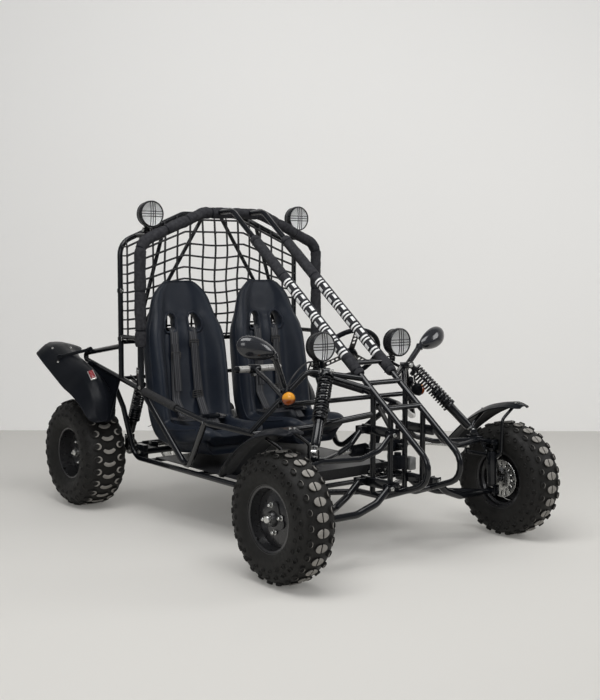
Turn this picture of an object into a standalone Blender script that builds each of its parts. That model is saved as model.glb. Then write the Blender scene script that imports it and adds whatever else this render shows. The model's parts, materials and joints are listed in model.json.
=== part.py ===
"""Two-seat off-road buggy with a tube frame, roll cage, coil shocks and fat knobbly tyres.

Metres, +Z up. The buggy faces -Y and its left side is +X. The origin lies on the floor
under the middle of the buggy. Places are written as distances back from the front axle,
and place() shifts them to that origin.
"""

import math

import bmesh
import bpy
from mathutils import Matrix, Vector

for old in list(bpy.data.objects):
    bpy.data.objects.remove(old, do_unlink=True)

# Driving dimensions
FRONT_AXLE_Y = -0.9165
WHEELBASE = 1.80
GAP = 0.0004

FRONT_TRACK_HALF = 0.667
REAR_TRACK_HALF = 0.612
REAR_FENDER_X = 0.658
FRONT_TYRE_RADIUS = 0.267
FRONT_TYRE_WIDTH = 0.172
REAR_TYRE_RADIUS = 0.279
REAR_TYRE_WIDTH = 0.236
RIM_SEAT_RADIUS = 0.127
RIM_FLANGE_RADIUS = 0.140

TUBE = 0.0135
SMALL_TUBE = 0.0115
HOOP_TUBE = 0.016
FOAM_RADIUS = 0.0275
PILLAR_FOAM_RADIUS = 0.0255

RAIL_HALF = 0.455
RAIL_Z = 0.268
SIDE_HALF = 0.55
HOOP_HALF = 0.552
HOOP_SHOULDER_Z = 1.372
HOOP_TOP_HALF = 0.18
HOOP_TOP_Z = 1.527
MAIN_HOOP_Y = 1.305
REAR_HOOP_Y = 1.504

PILLAR_HALF = 0.095
PILLAR_SLOPE = 0.762
NOSE_TIP = (-0.326, 0.395)
NOSE_FLOOR = (0.030, 0.268)

ARM_PIVOT_Z = 0.325
ARM_PIVOT_HALF = 0.137
ARM_REACH = 0.425
ARM_DROP = 0.108
UPPER_ARM_RISE = 0.227
KINGPIN_LEAN = 0.010
ARM_TUBE = 0.0115
LOWER_BOWS = ((0.205, 0.98, 0.268), (0.305, 0.76, 0.232))
UPPER_BOWS = ((0.188, 0.98, 0.492), (0.290, 0.78, 0.462))
EYE_RADIUS = 0.0145

SHOCK_TOP = (0.249, 0.228, 0.806)
SHOCK_FOOT = (0.470, 0.040, 0.500)
REAR_SHOCK_TOP = (0.405, 1.560, 0.640)
REAR_SHOCK_FOOT = (0.405, 1.690, 0.352)

SHOCK_BAR = (1.633, 0.672)

SWING_PIVOT = (1.50, 0.300)
ENGINE_SHELVES = (-0.060, 0.190)
CHAIN_X = -0.0965
CHAIN_FRONT = (1.560, 0.395)
RACK = (0.17, 0.455)
RACK_END = 0.205
WHEEL_CENTRE = (0.250, 0.660, 0.830)
COLUMN_FOOT = (0.125, 0.178, 0.466)

SEAT_HALF_GAP = 0.262
PEDAL_PLACES = (0.148, 0.248)
PEDAL_Y = 0.360
ROOF_LAMP_FOOT = (0.460, 1.400, 1.436)
FRONT_LAMP_FOOT = (0.228, 0.338, 0.830)
LAMP_RADIUS = 0.066
LAMP_DEPTH = 0.078


def place(x, y, z):
    """A point given by its distance back from the front axle."""
    return Vector((x, y + FRONT_AXLE_Y, z))


def material(name, colour, roughness, metallic=0.0):
    """A plain Principled material."""
    made = bpy.data.materials.new(name)
    made.use_nodes = True
    shader = made.node_tree.nodes["Principled BSDF"]
    shader.inputs["Base Color"].default_value = (*colour, 1.0)
    shader.inputs["Roughness"].default_value = roughness
    shader.inputs["Metallic"].default_value = metallic
    return made


# Solids as lists of vertices and faces, faces pointing out
def rounded(points, bend, steps=2):
    """The same route with an arc of the given radius in place of each corner."""
    route = [Vector(points[0])]
    for before, corner, after in zip(points, points[1:], points[2:]):
        before, corner, after = Vector(before), Vector(corner), Vector(after)
        back = (before - corner).normalized()
        ahead = (after - corner).normalized()
        turn = math.pi - back.angle(ahead)
        reach = bend * math.tan(turn / 2)
        longest = 0.48 * min((before - corner).length, (after - corner).length)
        radius = bend * min(1.0, longest / reach)
        centre = corner + (back + ahead).normalized() * radius / math.cos(turn / 2)
        start = corner + back * radius * math.tan(turn / 2) - centre
        axis = start.cross(corner + ahead * radius * math.tan(turn / 2) - centre).normalized()
        for step in range(steps + 1):
            route.append(centre + Matrix.Rotation(turn * step / steps, 3, axis) @ start)
    route.append(Vector(points[-1]))
    return route


def frames(route):
    """A tangent and two side directions at each point, carried along without twist."""
    tangents = []
    for index in range(len(route)):
        first = route[max(index - 1, 0)]
        last = route[min(index + 1, len(route) - 1)]
        tangents.append((last - first).normalized())
    side = tangents[0].orthogonal().normalized()
    result = []
    for tangent in tangents:
        side = (side - tangent * side.dot(tangent)).normalized()
        result.append((tangent, side, tangent.cross(side)))
    return result


def ring_points(centre, side, other, radius, sides):
    """Points round a circle in the plane of side and other."""
    points = []
    for index in range(sides):
        angle = 2 * math.pi * (index + 0.5) / sides
        points.append(centre + side * radius * math.cos(angle) + other * radius * math.sin(angle))
    return points


def skin(rings, closed=False):
    """Joins rings of equal count with quads. An open skin gets a cap at each end."""
    count = len(rings[0])
    vertices = [point for ring in rings for point in ring]
    faces = []
    last = len(rings) if closed else len(rings) - 1
    for row in range(last):
        here = row * count
        there = (row + 1) % len(rings) * count
        for index in range(count):
            following = (index + 1) % count
            faces.append((here + index, here + following, there + following, there + index))
    if not closed:
        faces.append(tuple(reversed(range(count))))
        faces.append(tuple(range((len(rings) - 1) * count, len(rings) * count)))
    return vertices, faces


def split_shell(solid, count, mirrored):
    """The same shell with two triangles in place of each quad, cut alike on its two sides."""
    vertices, faces = solid
    halves = []
    for face in faces:
        if len(face) != 4:
            halves.append(face)
        elif (face[0] % count >= count // 2) == mirrored:
            halves += [(face[0], face[1], face[2]), (face[0], face[2], face[3])]
        else:
            halves += [(face[0], face[1], face[3]), (face[1], face[2], face[3])]
    return vertices, halves


def tube(points, radius, bend=0.05, sides=8, steps=2):
    """A solid round bar along a route with bent corners."""
    route = rounded(points, bend, steps)
    rings = []
    for centre, (_, side, other) in zip(route, frames(route)):
        rings.append(ring_points(centre, side, other, radius, sides))
    return skin(rings)


def rod(start, end, radius, sides=10):
    """A straight round bar."""
    return tube([start, end], radius, sides=sides)


def sleeve(points, outer, inner, bend=0.05, sides=8, steps=2):
    """A pipe with a bore, along a route with bent corners."""
    route = rounded(points, bend, steps)
    outside, inside = [], []
    for centre, (_, side, other) in zip(route, frames(route)):
        outside.append(ring_points(centre, side, other, outer, sides))
        inside.append(ring_points(centre, side, other, inner, sides))
    loops = outside + inside[::-1]
    return skin(loops, closed=True)


def turned(profile, centre, axis, steps=16, closed=True, start=0.5):
    """Turns a profile of (distance along the axis, radius) round the axis.

    A closed profile makes a ring. An open one starts and ends on the axis.
    """
    axis = Vector(axis).normalized()
    side = Vector((0, 0, 1)) if abs(axis.z) < 0.9 else Vector((1, 0, 0))
    side = (side - axis * side.dot(axis)).normalized()
    other = axis.cross(side)
    centre = Vector(centre)
    count = len(profile)
    vertices, faces = [], []
    for step in range(steps):
        angle = 2 * math.pi * (step + start) / steps
        outward = side * math.cos(angle) + other * math.sin(angle)
        vertices += [centre + axis * along + outward * radius for along, radius in profile]
    last = count if closed else count - 1
    for step in range(steps):
        here, there = step * count, (step + 1) % steps * count
        for index in range(last):
            following = (index + 1) % count
            corners = (here + index, there + index, there + following, here + following)
            faces.append(corners)
    return vertices, faces


def block(centre, size, turn=None):
    """A box, turned by a matrix if one is given."""
    turn = turn or Matrix.Identity(3)
    half = Vector(size) / 2
    corners = []
    for x, y, z in ((-1, -1, -1), (1, -1, -1), (1, 1, -1), (-1, 1, -1),
                    (-1, -1, 1), (1, -1, 1), (1, 1, 1), (-1, 1, 1)):
        corners.append(Vector(centre) + turn @ Vector((x * half.x, y * half.y, z * half.z)))
    faces = [(3, 2, 1, 0), (4, 5, 6, 7), (0, 1, 5, 4), (1, 2, 6, 5), (2, 3, 7, 6), (3, 0, 4, 7)]
    return corners, faces


def span(low, high):
    """A box between two corners."""
    low, high = Vector(low), Vector(high)
    return block((low + high) / 2, high - low)


def mesh_of(name, solid):
    """A mesh from vertices and faces, with doubles merged and faces turned outwards."""
    vertices, faces = solid
    mesh = bpy.data.meshes.new(name)
    mesh.from_pydata([tuple(vertex) for vertex in vertices], [], faces)
    shape = bmesh.new()
    shape.from_mesh(mesh)
    bmesh.ops.remove_doubles(shape, verts=shape.verts, dist=1e-6)
    bmesh.ops.recalc_face_normals(shape, faces=shape.faces)
    if shape.calc_volume(signed=True) < 0:
        bmesh.ops.reverse_faces(shape, faces=shape.faces)
    shape.to_mesh(mesh)
    shape.free()
    mesh.shade_smooth()
    mesh.set_sharp_from_angle(angle=math.radians(35))
    return mesh


def hidden_group(name, solids):
    """Helper objects for a Boolean, in a collection of their own."""
    group = bpy.data.collections.new(name)
    bpy.context.scene.collection.children.link(group)
    for index, solid in enumerate(solids):
        helper = bpy.data.objects.new(f"{name}_{index}", mesh_of(name, solid))
        helper.hide_render = True
        helper.display_type = "WIRE"
        group.objects.link(helper)
    return group


def node(name, solids, finish, origin=(0, 0, 0), cuts=()):
    """One sub-part: its first solid, the others welded to it, then the cuts taken away."""
    mesh = mesh_of(name, solids[0])
    mesh.transform(Matrix.Translation(-Vector(origin)))
    mesh.materials.append(finish)
    made = bpy.data.objects.new(name, mesh)
    made.location = origin
    bpy.context.scene.collection.objects.link(made)
    for title, operation, group in (("weld", "UNION", solids[1:]), ("cut", "DIFFERENCE", cuts)):
        if group:
            step = made.modifiers.new(title, "BOOLEAN")
            step.operation = operation
            step.operand_type = "COLLECTION"
            step.collection = hidden_group(f"{name}_{title}", group)
    return made


# Finishes
frame_black = material("frame_black", (0.012, 0.013, 0.018), 0.32)
foam_grey = material("foam_grey", (0.035, 0.036, 0.040), 0.9)
net_cord = material("net_cord", (0.015, 0.015, 0.016), 0.85)
seat_vinyl = material("seat_vinyl", (0.012, 0.016, 0.026), 0.5)
tyre_rubber = material("tyre_rubber", (0.030, 0.029, 0.026), 0.85)
rim_black = material("rim_black", (0.014, 0.014, 0.015), 0.35, 0.3)
plastic_black = material("plastic_black", (0.016, 0.017, 0.019), 0.45)
bright_steel = material("bright_steel", (0.62, 0.62, 0.60), 0.3, 1.0)
cast_alloy = material("cast_alloy", (0.42, 0.42, 0.42), 0.5, 0.9)
dark_steel = material("dark_steel", (0.10, 0.10, 0.10), 0.5, 0.8)
floor_steel = material("floor_steel", (0.02, 0.02, 0.022), 0.55, 0.2)
lamp_black = material("lamp_black", (0.014, 0.014, 0.015), 0.4)
silver_tube = material("silver_tube", (0.55, 0.55, 0.53), 0.35, 0.6)

SIDES = (("left", 1), ("right", -1))


# Tube routes that more than one piece needs
def pillar_z(y):
    """Height of the pillar line at a distance back from the front axle."""
    return NOSE_TIP[1] + PILLAR_SLOPE * (y - NOSE_TIP[0])


def nose_floor_z(y):
    """Height of the pillar's return under the nose."""
    share = min(max((y - NOSE_TIP[0]) / (NOSE_FLOOR[0] - NOSE_TIP[0]), 0), 1)
    return NOSE_TIP[1] + (NOSE_FLOOR[1] - NOSE_TIP[1]) * share


def hoop_route(y, half, low):
    """A hoop with upright legs, sloping shoulders and a flat top."""
    return [
        place(-half, y, low),
        place(-half, y, HOOP_SHOULDER_Z),
        place(-HOOP_TOP_HALF, y, HOOP_TOP_Z),
        place(HOOP_TOP_HALF, y, HOOP_TOP_Z),
        place(half, y, HOOP_SHOULDER_Z),
        place(half, y, low),
    ]


def pillar_route(s):
    """A pillar from the roof down to the nose and back under it."""
    return [
        place(s * PILLAR_HALF, MAIN_HOOP_Y - 0.010, HOOP_TOP_Z + 0.002),
        place(s * PILLAR_HALF, 1.170, HOOP_TOP_Z + 0.008),
        place(s * PILLAR_HALF, *NOSE_TIP),
        place(s * PILLAR_HALF, *NOSE_FLOOR),
        place(s * PILLAR_HALF, 0.205, NOSE_FLOOR[1] - 0.002),
    ]


def side_bar_route(s):
    """The side bar from the nose round the cabin to the tail and back to the rear hoop."""
    return [
        place(s * PILLAR_HALF, 0.100, 0.620),
        place(s * 0.300, 0.275, 0.562),
        place(s * 0.480, 0.450, 0.527),
        place(s * 0.575, 0.660, 0.557),
        place(s * 0.580, 0.980, 0.606),
        place(s * SIDE_HALF, 1.320, 0.650),
        place(s * SIDE_HALF, 1.990, 0.776),
        place(s * SIDE_HALF, 1.515, 0.850),
    ]


def pillar(s, swell=0.0):
    """A pillar as a solid, swelled and reaching further where it serves as a cut."""
    route = pillar_route(s)
    route[0] = route[0] + Vector((0, 10 * swell, 0))
    route[-1] = route[-1] + Vector((0, 10 * swell, 0))
    return tube(route, TUBE + swell, bend=0.08, steps=4)


def main_hoop_tube(low, swell=0.0):
    """The main hoop as a solid, swelled where it serves as a cut."""
    return tube(hoop_route(MAIN_HOOP_Y, HOOP_HALF, low), HOOP_TUBE + swell, bend=0.09, steps=3)


def rear_hoop_tube(low, swell=0.0):
    """The rear hoop as a solid, swelled where it serves as a cut."""
    return tube(hoop_route(REAR_HOOP_Y, HOOP_HALF, low), TUBE + swell, bend=0.09, steps=3)


def side_bar(s, swell=0.0):
    """The side bar as a solid, swelled where it serves as a cut."""
    return tube(side_bar_route(s), TUBE + swell, bend=0.020)


def rail_route(s):
    """The floor rail from the tail strut along the cabin to the nose."""
    return [
        place(s * (SIDE_HALF - 0.004), 1.640, 0.707),
        place(s * 0.459, 1.606, 0.528),
        place(s * RAIL_HALF, 1.548, RAIL_Z),
        place(s * RAIL_HALF, 0.620, RAIL_Z),
        place(s * 0.250, 0.270, RAIL_Z),
        place(s * 0.100, 0.188, RAIL_Z - 0.002),
    ]


def tower_route(s):
    """The tube that carries a front shock, from the pillar out and down to the side bar."""
    return [
        place(s * PILLAR_HALF, 0.165, pillar_z(0.165)),
        place(s * 0.290, 0.312, 0.803),
        place(s * 0.492, 0.463, 0.529),
    ]


def side(point, s):
    """A (x, y, z) of the left side, placed on the given side."""
    return place(s * point[0], point[1], point[2])


# Main frame: floor rails, tail struts and cross tubes
def main_frame():
    solids = [tube(rail_route(1), TUBE, bend=0.07), tube(rail_route(-1), TUBE, bend=0.07)]
    for y, half in ((PEDAL_Y, 0.300), (0.950, RAIL_HALF), (1.400, RAIL_HALF)):
        solids.append(rod(place(-half, y, RAIL_Z), place(half, y, RAIL_Z), SMALL_TUBE, 8))
    for s in (1, -1):
        solids.append(rod(place(s * 0.235, PEDAL_Y, RAIL_Z), place(s * 0.235, 1.400, RAIL_Z),
                          SMALL_TUBE - 0.001, 8))
        solids.append(span(place(s * 0.424, 1.462, RAIL_Z), place(s * 0.452, 1.538, 0.338)))
        top_y, top_z = REAR_SHOCK_TOP[1:]
        lean = Matrix.Rotation(math.atan2(SHOCK_BAR[1] - top_z, SHOCK_BAR[0] - top_y), 3, "X")
        middle = ((SHOCK_BAR[0] + top_y) / 2, (SHOCK_BAR[1] + top_z) / 2)
        for reach in (-0.018, 0.018):
            solids.append(block(place(s * REAR_SHOCK_TOP[0] + reach, *middle), (0.005, 0.105, 0.024), lean))
    solids.append(rod(place(-0.529, *SHOCK_BAR), place(0.529, *SHOCK_BAR), SMALL_TUBE - 0.001, 8))
    for x in PEDAL_PLACES:
        foot = place(x, PEDAL_Y - 0.010, RAIL_Z + 0.004)
        for low in (-0.030, 0.0235):
            solids.append(span(foot + Vector((low, 0, 0)), foot + Vector((low + 0.0065, 0.026, 0.042))))
    cuts = [side_bar(s, GAP) for s in (1, -1)]
    cuts += [pillar(s, GAP) for s in (1, -1)]
    cuts += [upright_tube(s, y, GAP) for s in (1, -1) for y in (-0.012, 0.100)]
    node("main_frame", solids, frame_black, cuts=cuts)


def upright_tube(s, y, swell=0.0):
    """An upright of the nose between the pillar and its return below."""
    return rod(place(s * PILLAR_HALF, y, nose_floor_z(y)), place(s * PILLAR_HALF, y, pillar_z(y)),
               TUBE - 0.001 + swell, 8)


def arm_bracket(s, pivot_x, pivot_z, base_x):
    """The channel that holds one wishbone's two inner eyes."""
    solids = [span(place(s * (base_x - 0.010), -0.072, pivot_z - 0.021),
                   place(s * (base_x + 0.003), 0.162, pivot_z + 0.021))]
    for y in (-0.072, -0.033, 0.118, 0.157):
        solids.append(span(place(s * base_x, y, pivot_z - 0.016),
                           place(s * (pivot_x + 0.016), y + 0.005, pivot_z + 0.016)))
    return solids


def shock_axes(s):
    """Top eye, foot eye and the axis it swings about, for a front shock."""
    top, foot = side(SHOCK_TOP, s), side(SHOCK_FOOT, s)
    pivot = place(s * (ARM_PIVOT_HALF - KINGPIN_LEAN), SHOCK_FOOT[1], ARM_PIVOT_Z + UPPER_ARM_RISE)
    lift = Matrix.Rotation(-s * math.radians(12), 3, "Y")
    raised = pivot + lift @ (foot - pivot)
    return top, foot, (foot - top).cross(raised - top).normalized()


# Nose frame: pillars, cross bars, uprights, shock towers and wishbone brackets
def nose_frame():
    solids = [pillar(1), pillar(-1)]
    for y in (0.240, 0.134, 0.006):
        z = pillar_z(y) + 0.006
        solids.append(rod(place(-PILLAR_HALF, y, z), place(PILLAR_HALF, y, z), SMALL_TUBE, 8))
    for y in (-0.070, 0.100):
        z = nose_floor_z(y)
        solids.append(rod(place(-PILLAR_HALF, y, z), place(PILLAR_HALF, y, z), SMALL_TUBE, 8))
    for s in (1, -1):
        solids += [upright_tube(s, -0.012), upright_tube(s, 0.100)]
        solids += arm_bracket(s, ARM_PIVOT_HALF, ARM_PIVOT_Z, 0.107)
        solids += arm_bracket(s, ARM_PIVOT_HALF - KINGPIN_LEAN, ARM_PIVOT_Z + UPPER_ARM_RISE, 0.1035)
        solids.append(tube(tower_route(s), TUBE - 0.0005, bend=0.06))
        solids.append(rod(place(s * PILLAR_HALF, 0.108, pillar_z(0.108)),
                          place(s * 0.255, 0.282, 0.792), SMALL_TUBE, 8))
        top, _, swing = shock_axes(s)
        back = swing if swing.y > 0 else -swing
        up = Vector((0, 0, 1))
        inward = up.cross(back) * s
        solids.append(block(top + back * 0.0195 + inward * 0.0165 - up * 0.003, (0.006, 0.063, 0.028),
                            Matrix((back, inward, up)).transposed()))
        solids.append(span(place(s * PILLAR_HALF - 0.012, 0.095, RACK[1] - 0.014),
                           place(s * PILLAR_HALF + 0.012, RACK[0] - 0.0205, RACK[1] + 0.014)))
        foot = side(FRONT_LAMP_FOOT, s)
        solids.append(rod(place(s * 0.228, 0.268, 0.792), foot - Vector((0, 0, 0.018)), 0.007, 8))
        solids += lamp_fork(foot)
        solids.append(rod(side((0.352, 0.358, 0.719), s), side((0.352, 0.3815, 0.719), s), 0.009, 8))
    dash_y, dash_z = 0.376, 0.652
    solids.append(rod(place(-0.404, dash_y, dash_z), place(0.404, dash_y, dash_z), SMALL_TUBE, 8))
    foot, hub = place(*COLUMN_FOOT), place(*WHEEL_CENTRE)
    line = (hub - foot).normalized()
    bearing = foot + line * ((dash_y - COLUMN_FOOT[1]) / line.y)
    solids.append(rod(bearing - line * 0.018, bearing + line * 0.018, 0.024, 12))
    cuts = [rod(bearing - line * 0.1, bearing + line * 0.1, 0.0125, 12)]
    cuts += [side_bar(s, GAP) for s in (1, -1)]
    cuts.append(main_hoop_tube(0.60, 3 * GAP))
    node("nose_frame", solids, frame_black, cuts=cuts)


# Side frames: the side bar and the V brace under it
def side_frames():
    for name, s in SIDES:
        brace = [
            place(s * 0.555, 1.290, 0.646),
            place(s * 0.470, 1.010, 0.283),
            place(s * 0.578, 0.690, 0.561),
        ]
        solids = [side_bar(s), tube(brace, SMALL_TUBE + 0.001, bend=0.06)]
        cuts = [upright_tube(s, 0.100, GAP)]
        cuts.append(rear_hoop_tube(0.72, GAP))
        node(f"side_frame_{name}", solids, frame_black, cuts=cuts)


def cage_links():
    """Short tubes that join the rear hoop to the main hoop."""
    links = []
    for s in (1, -1):
        for x, z in ((HOOP_HALF, 0.900), (0.462, 1.409), (0.120, HOOP_TOP_Z)):
            links.append((place(s * x, REAR_HOOP_Y, z), place(s * x, MAIN_HOOP_Y, z)))
    return links


# Roll cage: main hoop, rear hoop and the foam round the main hoop
def roll_cage():
    cuts = [side_bar(s, GAP) for s in (1, -1)]
    node("main_hoop", [main_hoop_tube(0.655)], frame_black, cuts=cuts)

    solids = [rear_hoop_tube(0.690)]
    solids += [rod(start, end, SMALL_TUBE, 8) for start, end in cage_links()]
    solids.append(rod(place(-HOOP_HALF, REAR_HOOP_Y, 0.872), place(HOOP_HALF, REAR_HOOP_Y, 0.872),
                      SMALL_TUBE, 8))
    for s in (1, -1):
        low = place(s * 0.470, REAR_HOOP_Y, 0.872)
        for x, z in ((0.050, HOOP_TOP_Z), (0.285, 1.483)):
            solids.append(rod(low, place(s * x, REAR_HOOP_Y, z), SMALL_TUBE - 0.0015, 8))
        foot = side(ROOF_LAMP_FOOT, s)
        solids.append(rod(Vector((foot.x, foot.y, 1.409)), foot - Vector((0, 0, 0.011)), 0.007, 8))
        solids += lamp_fork(foot)
    node("rear_hoop", solids, frame_black, cuts=[main_hoop_tube(0.60, GAP)] + cuts)

    foam = sleeve(hoop_route(MAIN_HOOP_Y, HOOP_HALF, 0.858), FOAM_RADIUS, HOOP_TUBE + GAP,
                  bend=0.09, steps=3)
    cuts = [rod(start, end + Vector((0, 0.004, 0)), SMALL_TUBE + GAP, 8) for start, end in cage_links()]
    cuts += [pillar(s, GAP) for s in (1, -1)]
    node("hoop_pad", [foam], foam_grey, cuts=cuts)


def pillar_pads():
    for name, s in SIDES:
        ends = [place(s * PILLAR_HALF, y, pillar_z(y)) for y in (0.925, 0.268)]
        node(f"pillar_pad_{name}", [sleeve(ends, PILLAR_FOAM_RADIUS, TUBE + 0.0014, sides=10)], foam_grey)


def hoop_height(x):
    """Height of the rear hoop's centre line at a distance from the middle."""
    if abs(x) < HOOP_TOP_HALF:
        return HOOP_TOP_Z
    share = (abs(x) - HOOP_TOP_HALF) / (HOOP_HALF - HOOP_TOP_HALF)
    return HOOP_TOP_Z + (HOOP_SHOULDER_Z - HOOP_TOP_Z) * share


# Cargo net: a lattice of cord tied inside the rear hoop
def rear_net():
    columns, rows, half = 7, 5, 0.524
    vertices, faces = [], []
    for row in range(rows + 1):
        for column in range(columns + 1):
            x = half * (2 * column / columns - 1)
            top, low = hoop_height(x) - 0.034, 0.900
            vertices.append(place(x, REAR_HOOP_Y - 0.026, low + (top - low) * row / rows))
    for row in range(rows):
        for column in range(columns):
            first = row * (columns + 1) + column
            faces.append((first, first + 1, first + columns + 2, first + columns + 1))
    mesh = bpy.data.meshes.new("rear_net")
    mesh.from_pydata([tuple(vertex) for vertex in vertices], [], faces)
    mesh.materials.append(net_cord)
    net = bpy.data.objects.new("rear_net", mesh)
    bpy.context.scene.collection.objects.link(net)
    cord = net.modifiers.new("cord", "WIREFRAME")
    cord.thickness = 0.008
    cord.use_even_offset = True
    cord.use_boundary = True
    cord.use_replace = True


# Bucket seats, lofted through rings set square to the line of the seat
def seats():
    # Distance back, height, half width, raised edge and thickness of each ring
    stations = (
        (0.900, 0.440, 0.150, 0.012, 0.070),
        (0.945, 0.462, 0.185, 0.030, 0.110),
        (1.110, 0.430, 0.215, 0.055, 0.090),
        (1.255, 0.425, 0.225, 0.075, 0.085),
        (1.330, 0.520, 0.230, 0.095, 0.075),
        (1.365, 0.720, 0.232, 0.100, 0.060),
        (1.385, 0.900, 0.228, 0.075, 0.055),
        (1.398, 1.010, 0.190, 0.040, 0.050),
        (1.410, 1.110, 0.155, 0.018, 0.048),
        (1.422, 1.180, 0.085, 0.006, 0.036),
    )
    shares = (-1.0, -0.80, -0.52, 0.0, 0.52, 0.80, 1.0)
    lifts = (0.45, 1.0, 0.22, 0.0, 0.22, 1.0, 0.45)
    for name, s in SIDES:
        centre_x = s * SEAT_HALF_GAP
        line = [place(centre_x, y, z) for y, z, _, _, _ in stations]
        rings = []
        for index, (_, _, half, edge, thick) in enumerate(stations):
            along = line[min(index + 1, len(line) - 1)] - line[max(index - 1, 0)]
            face = Vector((1, 0, 0)).cross(along.normalized())
            ring = [line[index] + Vector((share * half, 0, 0)) + face * lift * edge
                    for share, lift in zip(shares, lifts)]
            for share, depth in ((0.98, 0.35), (0.55, 1.0), (-0.55, 1.0), (-0.98, 0.35)):
                ring.append(line[index] + Vector((share * half, 0, 0)) - face * depth * thick)
            rings.append(ring)
        slots = [span(place(centre_x + x - 0.024, 1.30, 0.915), place(centre_x + x + 0.024, 1.50, 0.997))
                 for x in (-0.070, 0.070)]
        node(f"seat_{name}", [skin(rings)], seat_vinyl, cuts=slots)


def arched_shell(s, middle, outline, thick, crown):
    """A crowned mudguard. Its outline's rows are y, z, lean in degrees, drop and half width.

    The crown gives the share of the drop at -1 for the inner edge to 1 for the outer one.
    """
    rings = []
    x = s * middle
    for y, z, lean, drop, half in outline:
        up = facing(lean)
        outer, inner = [], []
        for share in (-1.0, -0.6, 0.0, 0.6, 1.0):
            low = drop * crown(math.copysign(share, share * x))
            point = place(x + share * half, y, z) - up * low
            outer.append(point)
            inner.append(point - up * thick)
        rings.append(outer + inner[::-1])
    return split_shell(skin(rings), len(rings[0]), s < 0)


def facing(angle):
    """The up direction of a strip that leans forward by an angle in degrees."""
    return Vector((0, -math.sin(math.radians(angle)), math.cos(math.radians(angle))))


def rear_crown(share):
    """The share of a rear mudguard's drop, least a little inboard of its middle."""
    return ((share + 0.2) / 1.2) ** 2


# Mudguards
def rear_fenders():
    outline = ((1.500, 0.480, 80, 0.015, 0.072), (1.530, 0.590, 68, 0.070, 0.086),
               (1.600, 0.680, 52, 0.110, 0.092), (1.700, 0.733, 34, 0.115, 0.092),
               (1.830, 0.775, 22, 0.095, 0.092), (1.950, 0.813, 16, 0.080, 0.092),
               (2.030, 0.836, 8, 0.066, 0.092), (2.110, 0.842, 0, 0.045, 0.084))
    for name, s in SIDES:
        shell = arched_shell(s, REAR_FENDER_X, outline, 0.005, rear_crown)
        foot = span(place(s * 0.5645, 1.785, 0.724), place(s * 0.582, 1.815, 0.756))
        node(f"rear_fender_{name}", [shell, foot], plastic_black)


def floor_pan():
    front = PEDAL_Y + 0.035
    outline = [(-0.290, front), (0.290, front), (0.425, 0.640), (0.425, 1.385), (-0.425, 1.385), (-0.425, 0.640)]
    pan = skin([[place(x, y, z) for x, y in outline] for z in (0.2825, 0.2855)])
    lip = span(place(-0.280, front, 0.2825), place(0.280, front + 0.003, 0.330))
    node("floor_pan", [pan, lip], floor_steel)


def grab_bar():
    bar = rod(place(-0.400, 0.700, 0.784), place(-0.150, 0.700, 0.784), 0.016, 12)
    clamp = rod(place(-0.318, 0.700, 0.784), place(-0.284, 0.700, 0.784), 0.021, 12)
    arm = tube([place(-0.301, 0.700, 0.784), place(-0.330, 0.560, 0.745), place(-0.386, 0.352, 0.684)],
               0.011, bend=0.05)
    tower = tube(tower_route(-1), TUBE - 0.0005 + GAP, bend=0.06)
    node("grab_bar", [bar, clamp, arm], silver_tube, cuts=[tower])


# Steering: rack in its housing, tie rods, column and wheel
def steering():
    y, z = RACK
    foot, hub = place(*COLUMN_FOOT), place(*WHEEL_CENTRE)
    line = (hub - foot).normalized()
    housing = sleeve([place(-0.150, y, z), place(0.150, y, z)], 0.020, 0.0105, sides=12)
    boss = rod(foot - line * 0.004, foot + line * 0.034, 0.017, 12)
    bore = rod(place(-0.2, y, z), place(0.2, y, z), 0.0105, 12)
    node("rack_housing", [housing, boss], cast_alloy, cuts=[bore])
    node("steering_rack", [rod(place(-RACK_END, y, z), place(RACK_END, y, z), 0.0095, 12)],
         bright_steel, origin=place(0, y, z))
    for name, s in SIDES:
        inner = place(s * (RACK_END + 0.017), y, z)
        outer = place(s * 0.512, 0.112, 0.4175)
        ball = turned([(-0.012, 0), (-0.0085, 0.0085), (0, 0.012), (0.0085, 0.0085), (0.012, 0)],
                      inner, (0, 0, 1), 10, closed=False)
        head = rod(outer - Vector((0, 0, 0.007)), outer + Vector((0, 0, 0.009)), 0.012)
        node(f"tie_rod_{name}", [rod(inner, outer, 0.007, 8), ball, head], bright_steel, origin=inner)

    column = rod(foot + line * 0.0355, hub + line * 0.004, 0.011, 12)
    tilt = line.to_track_quat("Z", "Y").to_matrix()
    count, ring_radius = 20, 0.148
    rings = []
    for index in range(count):
        angle = 2 * math.pi * index / count
        outward = tilt @ Vector((math.cos(angle), math.sin(angle), 0))
        rings.append(ring_points(hub + outward * ring_radius, outward, -line, 0.0125, 6))
    solids = [skin(rings, closed=True), column, rod(hub - line * 0.022, hub + line * 0.010, 0.034, 12)]
    for angle in (90, 210, 330):
        outward = tilt @ Vector((math.cos(math.radians(angle)), math.sin(math.radians(angle)), 0))
        across = line.cross(outward)
        turn = Matrix((outward, across, line)).transposed()
        solids.append(block(hub + outward * 0.085, (0.126, 0.030, 0.005), turn))
    node("steering_wheel", solids, plastic_black, origin=hub)


# Front suspension and wheels
def arm_point(s, share, upper):
    """A point along a wishbone, from its inner pivot at 0 to its outer pivot at 1."""
    x = ARM_PIVOT_HALF + ARM_REACH * share - (KINGPIN_LEAN if upper else 0)
    z = ARM_PIVOT_Z - ARM_DROP * share + (UPPER_ARM_RISE if upper else 0)
    return x * s, z


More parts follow.
